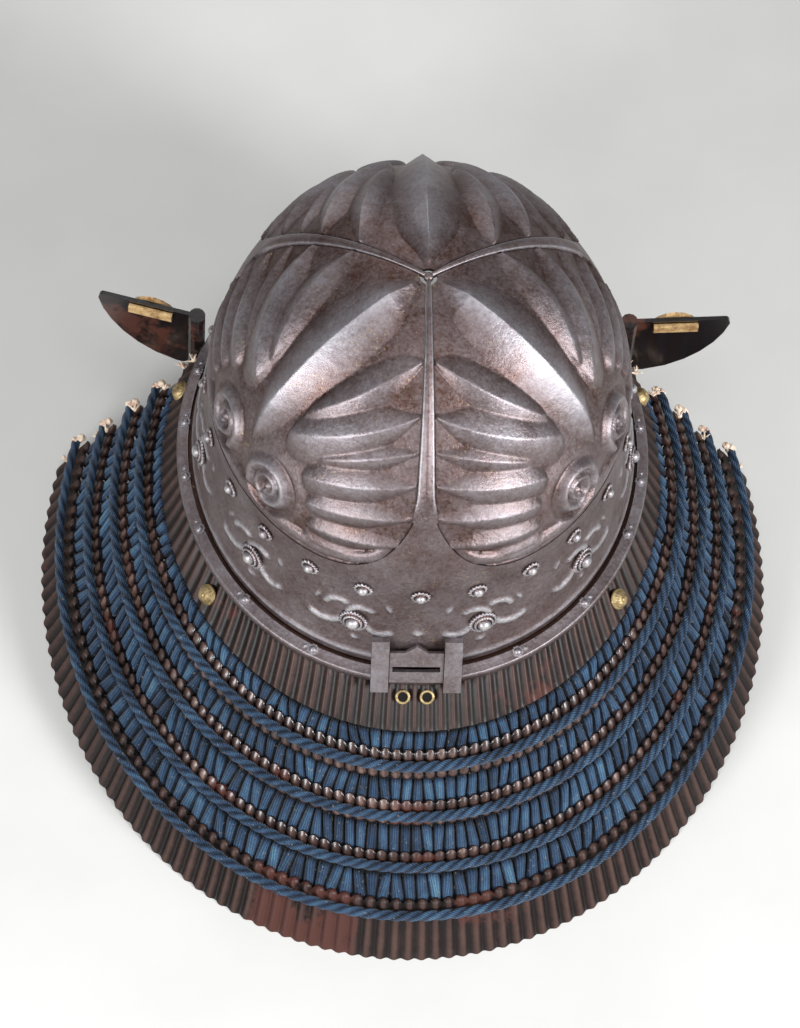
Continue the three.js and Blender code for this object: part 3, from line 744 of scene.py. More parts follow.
@dataclass(frozen=True)
class Palmette:
    """The embossed figure of a panel: a gabled leaf on the mid line, two scrolls and fans of petals."""

    scroll_across: float = 0.195
    scroll_down: float = 0.80
    scroll_radius: float = 16.3
    half_panel_width: float = 102.0
    leaf_half: float = 17.5
    leaf_end: float = 0.745
    leaf_height: float = 6.3
    valley_depth: float = 9.0
    foot_band_rise: float = 2.6
    foot_band_above: float = 6.6
    foot_band_half: float = 4.2

    def relief(self, u: Array, share: Array) -> Array:
        """Height in millimetres at a place on the panel.

        The ground rises by a smooth step round a scroll, and where forms meet the higher one shows. The
        foot has a band with a round section, and a thin rim below it. All fades out beside the ribs.

        Args:
            u: Share of the way across the panel, from rib to rib.
            share: Share down the bowl.

        Returns:
            Heights over the bare surface.
        """
        q = np.abs(2 * u - 1)
        arc = np.sin(np.clip(share, 0, 1) * np.pi / 2) * BOWL.row_half_length
        dx = (q - self.scroll_across) * self.half_panel_width
        dy = (share - self.scroll_down) * BOWL.crown_length
        near = np.hypot(dx, dy)
        height = 0.1 + 0.9 * smoothstep(27, 16, near)
        for petal in PETALS:
            height = np.maximum(height, petal.relief(q, share))
        height = self.with_leaf(height, q * arc, share)
        foot_gap = (BOWL.foot(u) - share) * BOWL.crown_length
        band = np.maximum(1 - ((foot_gap - self.foot_band_above) / self.foot_band_half) ** 2, 0)
        height = np.maximum(height, self.foot_band_rise * np.sqrt(band) * smoothstep(0.9, 0.75, q))
        inner = 1 - smoothstep(self.scroll_radius - 0.8, self.scroll_radius + 0.4, near)
        height = height * (1 - inner) + self.scroll(dx, dy) * inner
        rim = smoothstep(2.2, 1.6, foot_gap)
        height = height * (1 - rim) + rim
        return height * smoothstep(0.3, 1.3, (1 - q) * arc - BOWL.rib_half(share))

    def with_leaf(self, height: Array, aside: Array, share: Array) -> Array:
        """The height with the mid leaf in it.

        The leaf's half width is a sine of the way down, and its section a gable. What lies under it
        sinks evenly toward the mid line.

        Args:
            height: Height without the leaf.
            aside: Distance from the mid line in millimetres.
            share: Share down the bowl.

        Returns:
            Heights over the bare surface.
        """
        way = np.clip(share / self.leaf_end, 0, 1)
        half = self.leaf_half * np.sin(np.pi * way**0.8) ** 0.75 * smoothstep(-0.06, 0.2, share)
        inside = 1 - aside / np.maximum(half, 0.05)
        leaf = self.leaf_height * np.clip(inside, 0, 1) ** 1.12 * np.minimum(1, half / 11)
        covered = (inside > 0) & (share < self.leaf_end)
        return np.where(covered, np.maximum(height - self.valley_depth * inside, leaf), height)

    def scroll(self, dx: Array, dy: Array) -> Array:
        """Height of a scroll: two rounded ridges that wind inward, and a knob in the middle.

        Each ridge is a bell about a radius that falls with the turn, the outer by a power of it and the
        inner evenly.

        Args:
            dx: Millimetres from the scroll's middle toward the rib.
            dy: Millimetres down from its middle.

        Returns:
            Heights over the bare surface.
        """
        near = np.hypot(dx, dy)
        phase = (np.arctan2(-dy, -dx) / (2 * np.pi) + 0.2) % 1
        outer = 4.6 * bump(near - (13.0 - 5.2 * phase**1.15), 3.2) * smoothstep(0, 0.12, phase)
        inner = 4.0 * bump(near - (7.8 - 5.0 * phase), 2.3)
        knob = 3.9 * bump(near, 2.6)
        return np.maximum(np.maximum(np.maximum(outer, inner), knob) - 0.2, 0)


@dataclass(frozen=True)
class Figure:
    """A ribbon or leaf raised on the band, placed in millimetres along and down from its boss.

    A ribbon follows a circle of the radius about that place, as far as the half spread to either side of
    the bearing. A leaf is an ellipse turned to the bearing, and its half length is the radius.
    """

    kind: Emboss
    along: float
    down: float
    radius: float
    bearing: float
    half_spread: float
    half_width: float

    def relief(self, x: Array, y: Array) -> Array:
        """Height in millimetres, level in the middle and faded at every edge by a smooth step.

        Args:
            x: Millimetres along from the boss.
            y: Millimetres down from the boss.

        Returns:
            Heights over the band's face.
        """
        x, y = x - self.along, y - self.down
        if self.kind is Emboss.RIBBON:
            turn = wrapped(np.arctan2(y, x) / DEG - self.bearing)
            away = np.abs(np.hypot(x, y) - self.radius)
            ribbon = smoothstep(self.half_width, self.half_width * 0.45, away)
            return 1.15 * ribbon * smoothstep(self.half_spread, self.half_spread * 0.75, np.abs(turn))
        turn = self.bearing * DEG
        along = (x * math.cos(turn) + y * math.sin(turn)) / self.radius
        side = (y * math.cos(turn) - x * math.sin(turn)) / self.half_width
        return smoothstep(1, 0.4, np.hypot(along, side))


TENDRIL = (
    Figure(Emboss.RIBBON, 4.5, -2.5, 8.5, 250, 66, 2.1),
    Figure(Emboss.RIBBON, -7.5, -4.5, 8.0, 245, 62, 2.1),
    Figure(Emboss.RIBBON, 13.5, -2.0, 8.5, 105, 66, 2.2),
    Figure(Emboss.RIBBON, -16.5, -5.5, 12.5, 72, 58, 2.4),
    Figure(Emboss.LEAF, 17.0, -14.0, 3.6, 60, 0, 1.5),
    Figure(Emboss.LEAF, -20.0, -9.0, 3.6, 120, 0, 1.5),
    Figure(Emboss.LEAF, 1.0, 13.0, 3.2, 10, 0, 1.4),
)
# Bearings in degrees round the bowl: 90 is the rear
BOSSES = (73, 107, 41.3, 138.7, 9.5, 170.5)
TENDRILS_ALONE = (-14, 194)
ROW_STUDS = (90, 74.7, 105.3, 59.3, 120.7, 44.3, 135.7, 29, 151, 13.7, 166.3, -1.5, 181.5, -17, 197, -31, 211,
             -62, -118)
RIM_RIVETS = (64, 43, 22, 8, -6, -20, -34, 116, 137, 158, 172, 186, 200, 214)
# Bearing and drop
BRASS_SEATS = ((33, 0.085), (147, 0.085), (-17, 0.085), (197, 0.085))
# Out from the band's foot, up from the flange's top, and relief
FLANGE_SECTION = (
    (-2.2, 0, 0.2), (0.7, 0, 0.0), (0.9, -2.2, -1.2), (2.8, -2.4, -1.2), (3.0, -0.2, 0.4), (3.3, 0.05, 0.6),
    (3.6, -0.05, 0.42), (5.4, -0.5, 0.4), (7.7, -1.1, 0.42), (8.1, -1.1, 0.5), (8.5, -1.6, 0.45),
    (8.7, -3.2, 0.35), (8.6, -5.8, 0.3), (8.0, -6.4, 0.3), (-2.2, -2.4, 0.3),
)
# Share of the visor's reach, lift in millimetres over its slope, and relief
VISOR_SECTION = (
    (0, 3.8, 0.3), (0.2, 3.4, 0.3), (0.4, 3.1, 0.35), (0.6, 2.8, 0.4), (0.8, 2.5, 0.42), (0.92, 2.4, 0.5),
    (0.97, 3.0, 0.8), (1.0, 2.4, 0.8), (1.0, 0.6, 0.6), (0.96, 0.1, 0.3), (0.7, 0.5, 0.3), (0.4, 0.9, 0.3),
    (0.0, 1.4, 0.2),
)
RIB_CAP = Turning(((0, 1.3, 0.35, 0), (0.8, 1.25, 0.35, 0), (1.5, 1.0, 0.35, 0), (2.0, 0.5, 0.35, 0),
                   (2.2, -0.1, 0.35, 0), (2.2, -1.8, 0.35, 0), (0, -1.8, 0.35, 0)), 36)
RIM_RIVET = Turning((
    (0, 1.5, 0.6, 0), (0.8, 1.35, 0.6, 0), (1.4, 0.9, 0.6, 0), (1.7, 0.35, 0.6, 0.04),
    (2.3, 0.3, 0.6, 0.08), (2.5, 0, 0.6, 0.08), (2.5, -0.6, 0.6, 0), (0, -0.6, 0.6, 0)), 20, 10)
ROW_STUD = Turning((
    (0, 3.5, 0.9, 0), (0.9, 3.4, 0.9, 0), (1.7, 3.0, 0.8, 0), (2.3, 2.3, 0.7, 0), (2.6, 1.5, 0.3, 0),
    (2.7, 0.9, 0, 0), (3.0, 0.7, 0, 0.02), (3.5, 1.15, 0.8, 0.07), (4.1, 1.05, 0.8, 0.09),
    (4.5, 0.5, 0.4, 0.1), (4.5, 0, 0.1, 0.1), (0, 0, 0.1, 0)), 56, 14)
BOSS = Turning((
    (0, 5.2, 0.9, 0), (1.4, 5.0, 0.9, 0), (2.5, 4.3, 0.8, 0), (3.1, 3.3, 0.6, 0), (3.4, 2.2, 0, 0),
    (3.7, 2.0, 0, 0.01), (4.1, 2.6, 0.8, 0.05), (4.7, 2.5, 0.8, 0.06), (5.0, 1.5, -0.1, 0),
    (5.4, 1.3, -0.1, 0.02), (5.9, 1.7, 0.7, 0.05), (6.6, 1.5, 0.7, 0.07), (6.9, 0.7, 0.3, 0.08),
    (6.9, 0, 0.2, 0.06), (0, 0, 0.1, 0)), 96, 24)
BRASS_STUD = Turning((
    (0, 4.3, 0.6, 0), (0.8, 4.2, 0.6, 0), (1.1, 3.8, 0.6, 0), (1.4, 3.9, 0.6, 0.03), (2.4, 3.7, 0.6, 0.04),
    (3.4, 3.0, 0.6, 0.03), (4.2, 2.0, 0.6, 0.02), (4.4, 1.2, 0.6, 0), (4.9, 1.0, 0.6, 0),
    (5.2, 0.5, 0.6, 0), (5.2, 0, 0.6, 0), (0, 0, 0.6, 0)), 64, 16)
# A thin dark disc of painted shade that stands for an eyelet's hole; the lame itself is not cut
EYELET_HOLE_SHADE_DISC = Turning(((0, -0.2, 0.5, 0), (2.2, -0.15, 0.5, 0), (2.5, -0.5, 0.5, 0), (0, -0.6, 0.5, 0)), 28)


@dataclass(frozen=True)
class Bowl:
    """The bowl: three embossed panels, the ribs between them, and the band below with its rim."""

    columns: int = 210
    rows: int = 200
    panel_top: float = 0.026
    band_columns: int = 230
    band_rows: int = 56
    bridge_columns: int = 10
    band_prouder: float = 1.2
    band_height: float = 57.0
    boss_share: float = 1.5
    boss_arc_radius: float = 108.0
    rib_proud: float = 2.3
    rib_edge: float = 0.7
    rib_foot_proud: float = 1.25
    ring_end: float = -46.0
    rivet_out: float = 5.3
    visor_half_angle: float = 41.0
    visor_reach: float = 34.0
    visor_end_reach: float = 4.0
    visor_fall: float = 13.0

    def build(self, iron: Material) -> None:
        """Build every piece of the bowl.

        Args:
            iron: The russet finish.
        """
        for panel in Panel:
            self.panel(panel, iron)
        self.ribs(iron)
        self.band(iron)
        self.flange(iron)
        self.visor(iron)

    def panel(self, panel: Panel, iron: Material) -> None:
        """One panel, its outer face raised by the palmette and its back plain at the wall's thickness.

        Args:
            panel: Which of the three.
            iron: The russet finish.
        """
        down, outer = there_and_back(self.rows + 1, 8)
        across = crowded(self.columns)[:, None]
        share = self.panel_top + (BOWL.foot(across) - self.panel_top) * down
        margin = BOWL.margin(share)
        turn = margin + (THIRD - 2 * margin) * across
        height = Palmette().relief(turn / THIRD, share) * smoothstep(0, 0.03, down)
        out = np.where(outer, height, -BOWL.wall)
        shells = Shells()
        shells.loft(BOWL.point(np.pi / 2 + panel.value * THIRD + turn, share, out),
                    np.where(outer, 0.2 + 0.075 * out, 0.3))
        name = f"panel_{panel.name.lower()}"
        shells.build(f"{name}_embossed", iron, (name,), "russet_iron", sharp=75)

    def ribs(self, iron: Material) -> None:
        """Three straps with a rounded gable section, and the low cap where they meet.

        A strap stands lower near the apex, by its width. A smooth step levels its foot and another,
        squared, widens it there, so that it runs into the band.

        Args:
            iron: The russet finish.
        """
        across = np.linspace(-1, 1, 17)
        gable = self.rib_edge + (self.rib_proud - self.rib_edge) * (1 - np.abs(across) ** 1.5)
        rise = gable + 0.35 * bump(np.abs(across) - 0.82, 0.1)
        side = np.concatenate([across, [1, -1]])
        out = np.concatenate([rise, [-BOWL.wall, -BOWL.wall]])
        level = np.concatenate([0.3 + 0.4 * bump(np.abs(across) - 0.85, 0.15), [0.2, 0.2]])
        share = np.linspace(0.008, BOWL.rib_foot + 0.006, 90)[:, None]
        half = BOWL.rib_half(share)
        low = smoothstep(BOWL.rib_foot - 0.09, BOWL.rib_foot - 0.003, share)
        grown = out * (0.3 + 0.7 * half / BOWL.rib_half_width)
        proud = np.where(out > 0, grown * (1 - low) + self.rib_foot_proud * low, out)
        flare = 1 + 0.32 * smoothstep(BOWL.rib_foot - 0.12, BOWL.rib_foot + 0.02, share) ** 2
        shells = Shells()
        for number in range(3):
            angle = np.pi / 2 + number * THIRD
            sideways = np.array([-math.sin(angle), math.cos(angle), 0])
            grid = BOWL.point(angle, share, proud) + sideways * (side[None] * half * flare)[..., None]
            shells.loft(grid, level[None] * (1 - low) + 0.3 * low)
        top = np.array([0, 0, BOWL.rim_z + BOWL.row_rise + BOWL.crown_rise])
        shells.turned(RIB_CAP, seat_at(top, UP, np.array([0, 1.0, 0])))
        shells.build("apex_ribs_dressed", iron, ("apex_ribs",), "russet_iron", sharp=60)

    def band(self, iron: Material) -> None:
        """The band below the studs. Its upper edge follows the panels' feet and crosses the ribs' feet.

        Args:
            iron: The russet finish.
        """
        across = crowded(self.band_columns)
        foot = BOWL.foot(across)
        margin = BOWL.margin(foot)
        under = np.pi / 2 + margin + (THIRD - 2 * margin) * across
        bridge = np.linspace(under[-1], under[0] + THIRD, self.bridge_columns + 2)[1:-1]
        angle = np.concatenate([np.append(under, bridge) + number * THIRD for number in range(3)])[:, None]
        top = np.tile(np.append(foot, np.full(self.bridge_columns, foot[0])), 3)[:, None]
        top = top + 2 * BOWL.gap / BOWL.crown_length
        down, outer = there_and_back(self.band_rows, 6)
        share = top + (2 - top) * down
        height = self.embossing(angle * np.ones_like(share), share)
        points = BOWL.point(angle, share, np.where(outer, self.band_prouder + height, -BOWL.wall))
        points[..., 2] = np.where(down >= 1, BOWL.rim_z, np.maximum(points[..., 2], BOWL.rim_z))
        shells = Shells()
        shells.loft(points, np.where(outer, 0.3 + 0.45 * height, 0.3), ring=True)
        shells.build("koshimaki_band_embossed", iron, ("koshimaki_band",), "russet_iron", sharp=60)

    def embossing(self, angle: Array, share: Array) -> Array:
        """Height of the band's figures in millimetres.

        Round each boss, and at two places more, stands a tendril of ribbons and leaves, mirrored from
        side to side. At the rear is a small lozenge that fades with its sides' distance from the middle.
        A bell about a line near the lower edge makes the bead there.

        Args:
            angle: Angle round the helmet in radians.
            share: Share down the bowl.

        Returns:
            Heights over the band's face.
        """
        height = np.zeros_like(share)
        for degrees in BOSSES + TENDRILS_ALONE:
            mirror = -1 if math.cos(degrees * DEG) < 0 else 1
            x = mirror * wrapped(angle / DEG - degrees) * DEG * self.boss_arc_radius
            y = (share - self.boss_share) * self.band_height
            for figure in TENDRIL:
                height = np.maximum(height, figure.relief(x, y))
        aside = np.abs(wrapped(angle / DEG - 90)) * DEG * BOWL.rim_half_length
        lozenge = smoothstep(5.5, 1.0, aside + 1.6 * np.abs((share - 1.56) * self.band_height))
        height = np.maximum(height, 1.2 * lozenge)
        return np.maximum(height, 0.9 * bump((share - 1.93) * self.band_height, 1.3))

    def flange(self, iron: Material) -> None:
        """The flange round the rim, with a groove beside the band, and its row of rivets.

        Args:
            iron: The russet finish.
        """
        start, stop = self.ring_end * DEG, math.pi - self.ring_end * DEG
        top = BOWL.rim_z - BOWL.gap
        out, fall, level = np.array(FLANGE_SECTION).T[:, None]
        shells = Shells()
        shells.loft(BOWL.rim(np.linspace(start, stop, 320)[:, None], out, top + fall), level)
        shells.build("rim_flange_dressed", iron, ("rim_flange",), "russet_iron", sharp=70)
        rivets = Shells()
        for degrees in RIM_RIVETS:
            forward = 1 if math.cos(degrees * DEG) < 0 else -1
            for shift, size in ((0, 1.15), (2.1, 0.55)):
                a = (degrees + forward * shift) * DEG
                foot = BOWL.rim(np.array(a), self.rivet_out, np.array(top - 0.5))
                normal = np.array([math.cos(a) * 0.3, math.sin(a) * 0.3, 0.954])
                rivets.turned(RIM_RIVET, seat_at(foot, normal / np.linalg.norm(normal)), size)
        rivets.build("rim_rivets", iron, (), "russet_iron")

    def visor(self, iron: Material) -> None:
        """The visor over the brow: a sloping plate whose reach is a rounded arch, with a rolled lip.

        Args:
            iron: The russet finish.
        """
        s = np.linspace(-1, 1, 121)[:, None]
        angle = -np.pi / 2 + s * self.visor_half_angle * DEG
        reach = self.visor_end_reach + (self.visor_reach - self.visor_end_reach) * (1 - s**2) ** 0.6
        fall = self.visor_fall * reach / self.visor_reach
        t, lift, level = np.array(VISOR_SECTION).T[:, None]
        root = self.band_prouder + BOWL.gap
        shells = Shells()
        shells.loft(BOWL.rim(angle, root + reach * t, BOWL.rim_z + lift - fall * t), level)
        shells.build("visor_dressed", iron, ("visor",), "russet_iron", sharp=60)


@dataclass(frozen=True)
class Studs:
    """Iron studs of the row and the band, and the brass studs and eyelets of the skirt."""

    row_share: float = 1.01
    row_seat_radius: float = 4.0
    boss_out: float = 1.55
    brass_out: float = 1.25
    eyelet_out: float = 1.6
    eyelet_drop: float = 0.045
    eyelet_aside: float = 5.8
    eyelet_radius: float = 3.0
    wire_radius: float = 0.7

    def build(self, iron: Material, brass: Material, dark: Material) -> None:
        """Build every stud and eyelet on its own seat.

        Args:
            iron: Finish of the bowl's studs.
            brass: Finish of the skirt's studs and eyelets.
            dark: Painted shade that fills the eyelets' holes.
        """
        row_out = Bowl.band_prouder + BOWL.gap + self.row_seat_radius**2 / (2 * BOWL.row_half_width)
        for number, degrees in enumerate(ROW_STUDS):
            seat = self.bowl_seat(degrees, self.row_share, row_out)
            self.stud(f"row_stud_{number + 1}", ROW_STUD, seat, iron, "russet_iron")
        for number, degrees in enumerate(BOSSES):
            seat = self.bowl_seat(degrees, Bowl.boss_share, self.boss_out)
            self.stud(f"boss_{number + 1}", BOSS, seat, iron, "russet_iron")
        for number, (degrees, drop) in enumerate(BRASS_SEATS):
            seat = self.skirt_seat(degrees * DEG, drop, self.brass_out)
            self.stud(f"brass_stud_{number + 1}", BRASS_STUD, seat, brass, "brass")
        for name, side in (("left", 1), ("right", -1)):
            self.eyelet(f"eyelet_{name}", side, brass, dark)

    def stud(self, node: str, shape: Turning, seat: Array, finish: Material, slot: str) -> None:
        """One stud in place of its CAD node.

        Args:
            node: The CAD node.
            shape: The stud's turned shape.
            seat: Where it stands.
            finish: Its material.
            slot: Material slot of the record.
        """
        shells = Shells()
        shells.turned(shape, seat)
        shells.build(f"{node}_dressed", finish, (node,), slot, sharp=60)

    def bowl_seat(self, degrees: float, share: float, out: float) -> Array:
        """Frame on the bowl at an angle, a share and a distance out."""
        a, b = np.array(degrees * DEG), np.array(share)
        return seat_at(BOWL.point(a, b, np.array(out)), BOWL.normal(a, b))

    def skirt_seat(self, angle: float, drop: float, out: float) -> Array:
        """Frame on the skirt at an angle, a drop and a distance out."""
        a, b = np.array(angle), np.array(drop)
        return seat_at(SKIRT.point(a, b, np.array(out)), normals_of(SKIRT.base, a, b))

    def eyelet(self, node: str, side: int, brass: Material, dark: Material) -> None:
        """A ring of round wire at the rear, round a dark disc of painted shade that stands for its hole.

        Args:
            node: The CAD node.
            side: 1 on the left of the middle, -1 on the right.
            brass: Finish of the ring.
            dark: Finish of the disc of painted shade in the hole.
        """
        turned = side * self.eyelet_aside / SKIRT.half_width_at(self.eyelet_drop)
        seat = self.skirt_seat(np.pi / 2 - turned, self.eyelet_drop, self.eyelet_out)
        turn, section = circle(40)[:, None], circle(14)[None]
        radius = self.eyelet_radius + self.wire_radius * np.cos(section)
        height = self.wire_radius * np.sin(section)
        local = np.stack(np.broadcast_arrays(radius * np.cos(turn), radius * np.sin(turn), height), -1)
        ring = Shells()
        ring.loft(seated(local, seat), 0.6, ring=True)
        ring.build(f"{node}_ring", brass, (node,), "brass")
        # The hole is a dark disc of painted shade on the lame
        hole = Shells()
        hole.turned(EYELET_HOLE_SHADE_DISC, seat)
        hole.build(f"{node}_hole", dark)


@dataclass(frozen=True)
class Lame:
    """One lame of the skirt, between two drops, with the depth of its beads or flutes and their pitch."""

    top: float
    bottom: float
    top_out: float
    pitch: float
    depth: float
    fluted: bool
    end_y: float = SKIRT.end_y

    def face(self, drop: Array) -> Array:
        """How far the face stands out, falling evenly from its top edge to nothing at its bottom edge."""
        return self.top_out - self.top_out * (drop - self.top) / (self.bottom - self.top)

    @property
    def beads(self) -> int:
        """Number of beads along the lame's middle at its pitch.

        Returns:
            The nearest whole number.
        """
        middle = (self.top + self.bottom) / 2
        turn = np.linspace(0, 1, 200)
        line = SKIRT.base(SKIRT.angle(turn, middle, self.end_y), np.full(200, middle))
        return int(round(np.linalg.norm(np.diff(line, axis=0), axis=1).sum() / self.pitch))


LAMES = (
    Lame(0.0, 0.158, 0.0, 6.7, 0.9, True, SKIRT.top_end_y),
    Lame(0.215, 0.318, 1.6, 6.0, 0.5, False),
    Lame(0.393, 0.484, 1.6, 6.1, 0.5, False),
    Lame(0.58, 0.664, 1.6, 6.2, 0.5, False),
    Lame(0.757, 1.0, 2.5, 7.2, 0.9, True),
)
# Lame, first and last bearing in degrees of a stretch worn to the red ground
WORN_PATCHES = ((5, 64.5, 82.0), (5, 97.5, 108.0), (4, 52.0, 57.0), (3, 62.0, 66.0))
FRAYED_DROPS = (0.06, 0.12, 0.22, 0.27, 0.42, 0.47, 0.62, 0.67, 0.83, 0.9)
# Drop and distance out from the braid's middle, and radius
CLUMPS = ((0.0, 0.0, 2.5), (-0.034, -0.6, 1.9))


@dataclass(frozen=True)
class Skirt:
    """The neck guard: five lames, the silk lacing between them and the twisted braid on each."""

    wall: float = 2.0
    gap: float = 0.35
    columns_per_bead: int = 8
    lacing_wall: float = 3.4
    lacing_overlap: float = 0.022
    lacing_bulge: float = 4.2
    columns_per_bundle: int = 18
    threads_per_bundle: int = 5
    braid_half_width: float = 2.9
    braid_half_height: float = 2.3
    braid_drop: float = 0.052
    braid_strands: int = 3
    braid_turns_per_bead: float = 0.9
    threads_per_tuft: int = 16

    def build(self, lacquer: Material, dull: Material, silk: Material, cream: Material) -> None:
        """Build the lames, lacing, braids and frayed ends.

        Args:
            lacquer: Finish of the beaded lames.
            dull: Finish of the fluted lames.
            silk: Finish of the lacing and the braids.
            cream: Finish of the frayed cord ends.
        """
        for index, lame in enumerate(LAMES):
            self.lame(index, lame, dull if lame.fluted else lacquer)
        for index in range(len(LAMES) - 1):
            self.lacing(index, silk)
            self.braid(index + 1, silk)
        self.tufts(cream)

    def lame(self, index: int, lame: Lame, lacquer: Material) -> None:
        """One lame, whose section along its length repeats at each bead.

        The top lame has sharp ridges, 1 less a power of the arch that a sine makes across the pitch. The
        last has round flutes and the others full beads, each a power of the arch. Their upper edges are
        scalloped, and the relief fades in below them.

        Args:
            index: Its place from the top, from 0.
            lame: Its sizes.
            lacquer: Its finish.
        """
        beads = lame.beads
        turn = np.linspace(0, 1, beads * self.columns_per_bead + 1)[:, None]
        arch = np.abs(np.sin(np.pi * turn * beads))
        first, last = index == 0, index == len(LAMES) - 1
        rows = 16 if lame.fluted else 12
        down, front = there_and_back(rows, 3)
        top = lame.top + (0.01 * arch if first else 0.016 * (1 - arch**0.8))
        bottom = lame.bottom - 0.004 * (1 - (arch**2 if last else arch))
        drop = top + (bottom - top) * down
        profile = 1 - 1.7 * arch**1.1 if first else 2 * arch ** (1.7 if last else 0.6) - 1
        edge = smoothstep(0, 0.05 if lame.fluted else 0.22, down) * (1 - 0.5 * smoothstep(0.95, 1, down))
        depth = lame.depth * (1.15 if lame.fluted else 1.7)
        raised = lame.face(drop) + depth * profile * (0.2 + 0.8 * edge)
        out = np.where(front, raised, lame.face(drop) - self.wall)
        angle = SKIRT.angle(turn, drop, lame.end_y)
        points = SKIRT.point(angle, drop, out)
        points[..., 2] = np.maximum(points[..., 2], 0)
        # Painted highlight on the crests of the beads and flutes, partly rubbed wear, and painted shade in
        # their valleys
        level = 0.02 + 0.55 * ((1 + profile) / 2) ** 1.5
        shells = Shells()
        shells.loft(points, np.where(front, level, 0.2), strand=self.worn(index + 1, angle / DEG))
        name = f"lame_{index + 1}"
        shells.build(f"{name}_lacquered", lacquer, (name,), "lacquered_lame", sharp=80)

    def worn(self, number: int, bearing: Array) -> Array:
        """How worn a lame is at a bearing: 1 inside a patch, with a smooth step at both its ends.

        Args:
            number: The lame's number from the top, from 1.
            bearing: Angle round the helmet in degrees.

        Returns:
            Values from 0 to 1.
        """
        bare = np.zeros_like(bearing)
        for lame, start, end in WORN_PATCHES:
            if lame == number:
                patch = smoothstep(start - 1, start + 1, bearing) * smoothstep(end + 1, end - 1, bearing)
                bare = np.maximum(bare, patch)
        return bare

    def lacing(self, index: int, silk: Material) -> None:
        """A row of bundles that differ a little in lean, thickness and fading.

        A bundle's bulge is the root of 1 less powers of the way to its side and of the way to its upper
        end, so that it is round there. The thread count grows evenly across, and leans with the drop.

        Args:
            index: Place of the lame above it.
            silk: Its finish.
        """
        lower = LAMES[index + 1]
        low = LAMES[index].bottom + self.gap / SKIRT.slant
        high = lower.top + self.lacing_overlap
        behind = lower.face(np.array(high)) - self.wall - self.gap - lower.depth
        count = lower.beads
        turn = np.linspace(0, 1, count * self.columns_per_bundle + 1)[:, None]
        rng = np.random.default_rng(SEED + index)
        passed = turn * count
        bundle = np.minimum(passed.astype(int), count - 1)
        lean = np.interp(passed, np.arange(count) + 0.5, np.clip(rng.normal(0, 0.55, count), -1, 1))
        fade = rng.normal(0, 0.09, count)[bundle]
        thick = rng.uniform(0.7, 1.0, count)[bundle]
        down, front = there_and_back(13, 2)
        aside = np.abs(2.05 * (passed - bundle) - 1.025)
        above = np.clip(1 - down / 0.3, 0, 1)
        arch = np.sqrt(np.clip(1 - aside**2.1 - above**2.2, 0, 1))
        seat = behind + 0.8 * (1 - down)
        out = seat + np.where(front, self.lacing_bulge * arch * thick - 2.2, -self.lacing_wall)
        # Painted shade in the gaps between bundles and painted highlight on their crests; fade adds each
        # bundle's own fading
        level = np.where(front, -0.12 + 0.76 * arch + fade, 0.1)
        steady_end = np.sin(np.pi * np.clip(passed / 2, 0, 0.5))
        shifted = np.clip(turn + lean * (down - 0.5) * 0.9 / count * steady_end, 0, 1)
        drop = low + (high - low) * down
        shells = Shells()
        shells.loft(SKIRT.point(SKIRT.angle(shifted, drop, SKIRT.end_y), drop, out), level,
                    strand=self.threads_per_bundle * passed + lean * 1.2 * (down - 0.5))
        name = f"lacing_{index + 1}"
        shells.build(f"{name}_bundles", silk, (name,), "indigo_lacing", sharp=85)

    def braid(self, index: int, silk: Material) -> None:
        """A twisted cord: an oval tube whose radius swells where each of its strands passes.

        Args:
            index: Place of the lame that it lies on.
            silk: Its finish.
        """
        lame = LAMES[index]
        drop = lame.top + self.braid_drop
        seat = float(self.braid_out(lame, np.array(drop)))
        beads = lame.beads
        turn = np.linspace(0, 1, beads * self.columns_per_bead + 1)[:, None]
        a = circle(14)[None]
        twist = 2 * np.pi * turn * beads * self.braid_turns_per_bead
        strand = np.abs(np.sin(0.5 * (self.braid_strands * a - twist)))
        radius = 0.6 + 0.4 * strand**0.7
        at = drop + self.braid_half_width / SKIRT.slant * np.cos(a) * radius
        out = seat + self.braid_half_height * np.sin(a) * radius
        shells = Shells()
        # Painted highlight where each strand swells and painted shade between the strands
        shells.loft(SKIRT.point(SKIRT.angle(turn, at, SKIRT.end_y), at, out), 0.12 + 0.55 * strand,
                    strand=6 * a / np.pi + turn * beads * self.braid_strands)
        name = f"braid_{index + 1}"
        shells.build(f"{name}_twisted", silk, (name,), "indigo_lacing", sharp=85)

    def braid_out(self, lame: Lame, drop: Array) -> Array:
        """How far out the middle of a lame's braid lies."""
        return lame.face(drop) + lame.depth + self.gap + self.braid_half_height

    def tufts(self, cream: Material) -> None:
        """Cord ends at the lames' front edges: frayed threads that spread from a knot, and lumpy clumps.

        Args:
            cream: Their finish.
        """
        rng = np.random.default_rng(SEED)
        shells = Shells()
        for side in (0, 1):
            for drop in FRAYED_DROPS:
                end = SKIRT.top_end_y if drop < LAMES[0].bottom else SKIRT.end_y
                angle = float(SKIRT.angle(np.array(abs(side - 0.006)), np.array(drop), end))
                foot = SKIRT.point(np.array(angle), np.array(drop), np.array(2.2))
                for _ in range(self.threads_per_tuft):
                    aim = np.array([rng.normal(0, 0.6), -1.0 + rng.normal(0, 0.5), 0.35 + rng.normal(0, 0.4)])
                    self.thread(shells, foot, aim / np.linalg.norm(aim), rng.uniform(2.5, 5.5),
                                rng.uniform(0.45, 0.8))
            for lame in LAMES[1:]:
                for above, lift, radius in CLUMPS:
                    drop = np.array(lame.top + self.braid_drop + above)
                    angle = SKIRT.angle(np.array(float(side)), drop, lame.end_y)
                    centre = SKIRT.point(angle, drop, np.array(self.braid_out(lame, drop) + lift))
                    self.clump(shells, centre, radius * rng.uniform(0.85, 1.1), rng.uniform(-0.4, 0.4, 2))
        shells.build("cord_ends_frayed", cream)

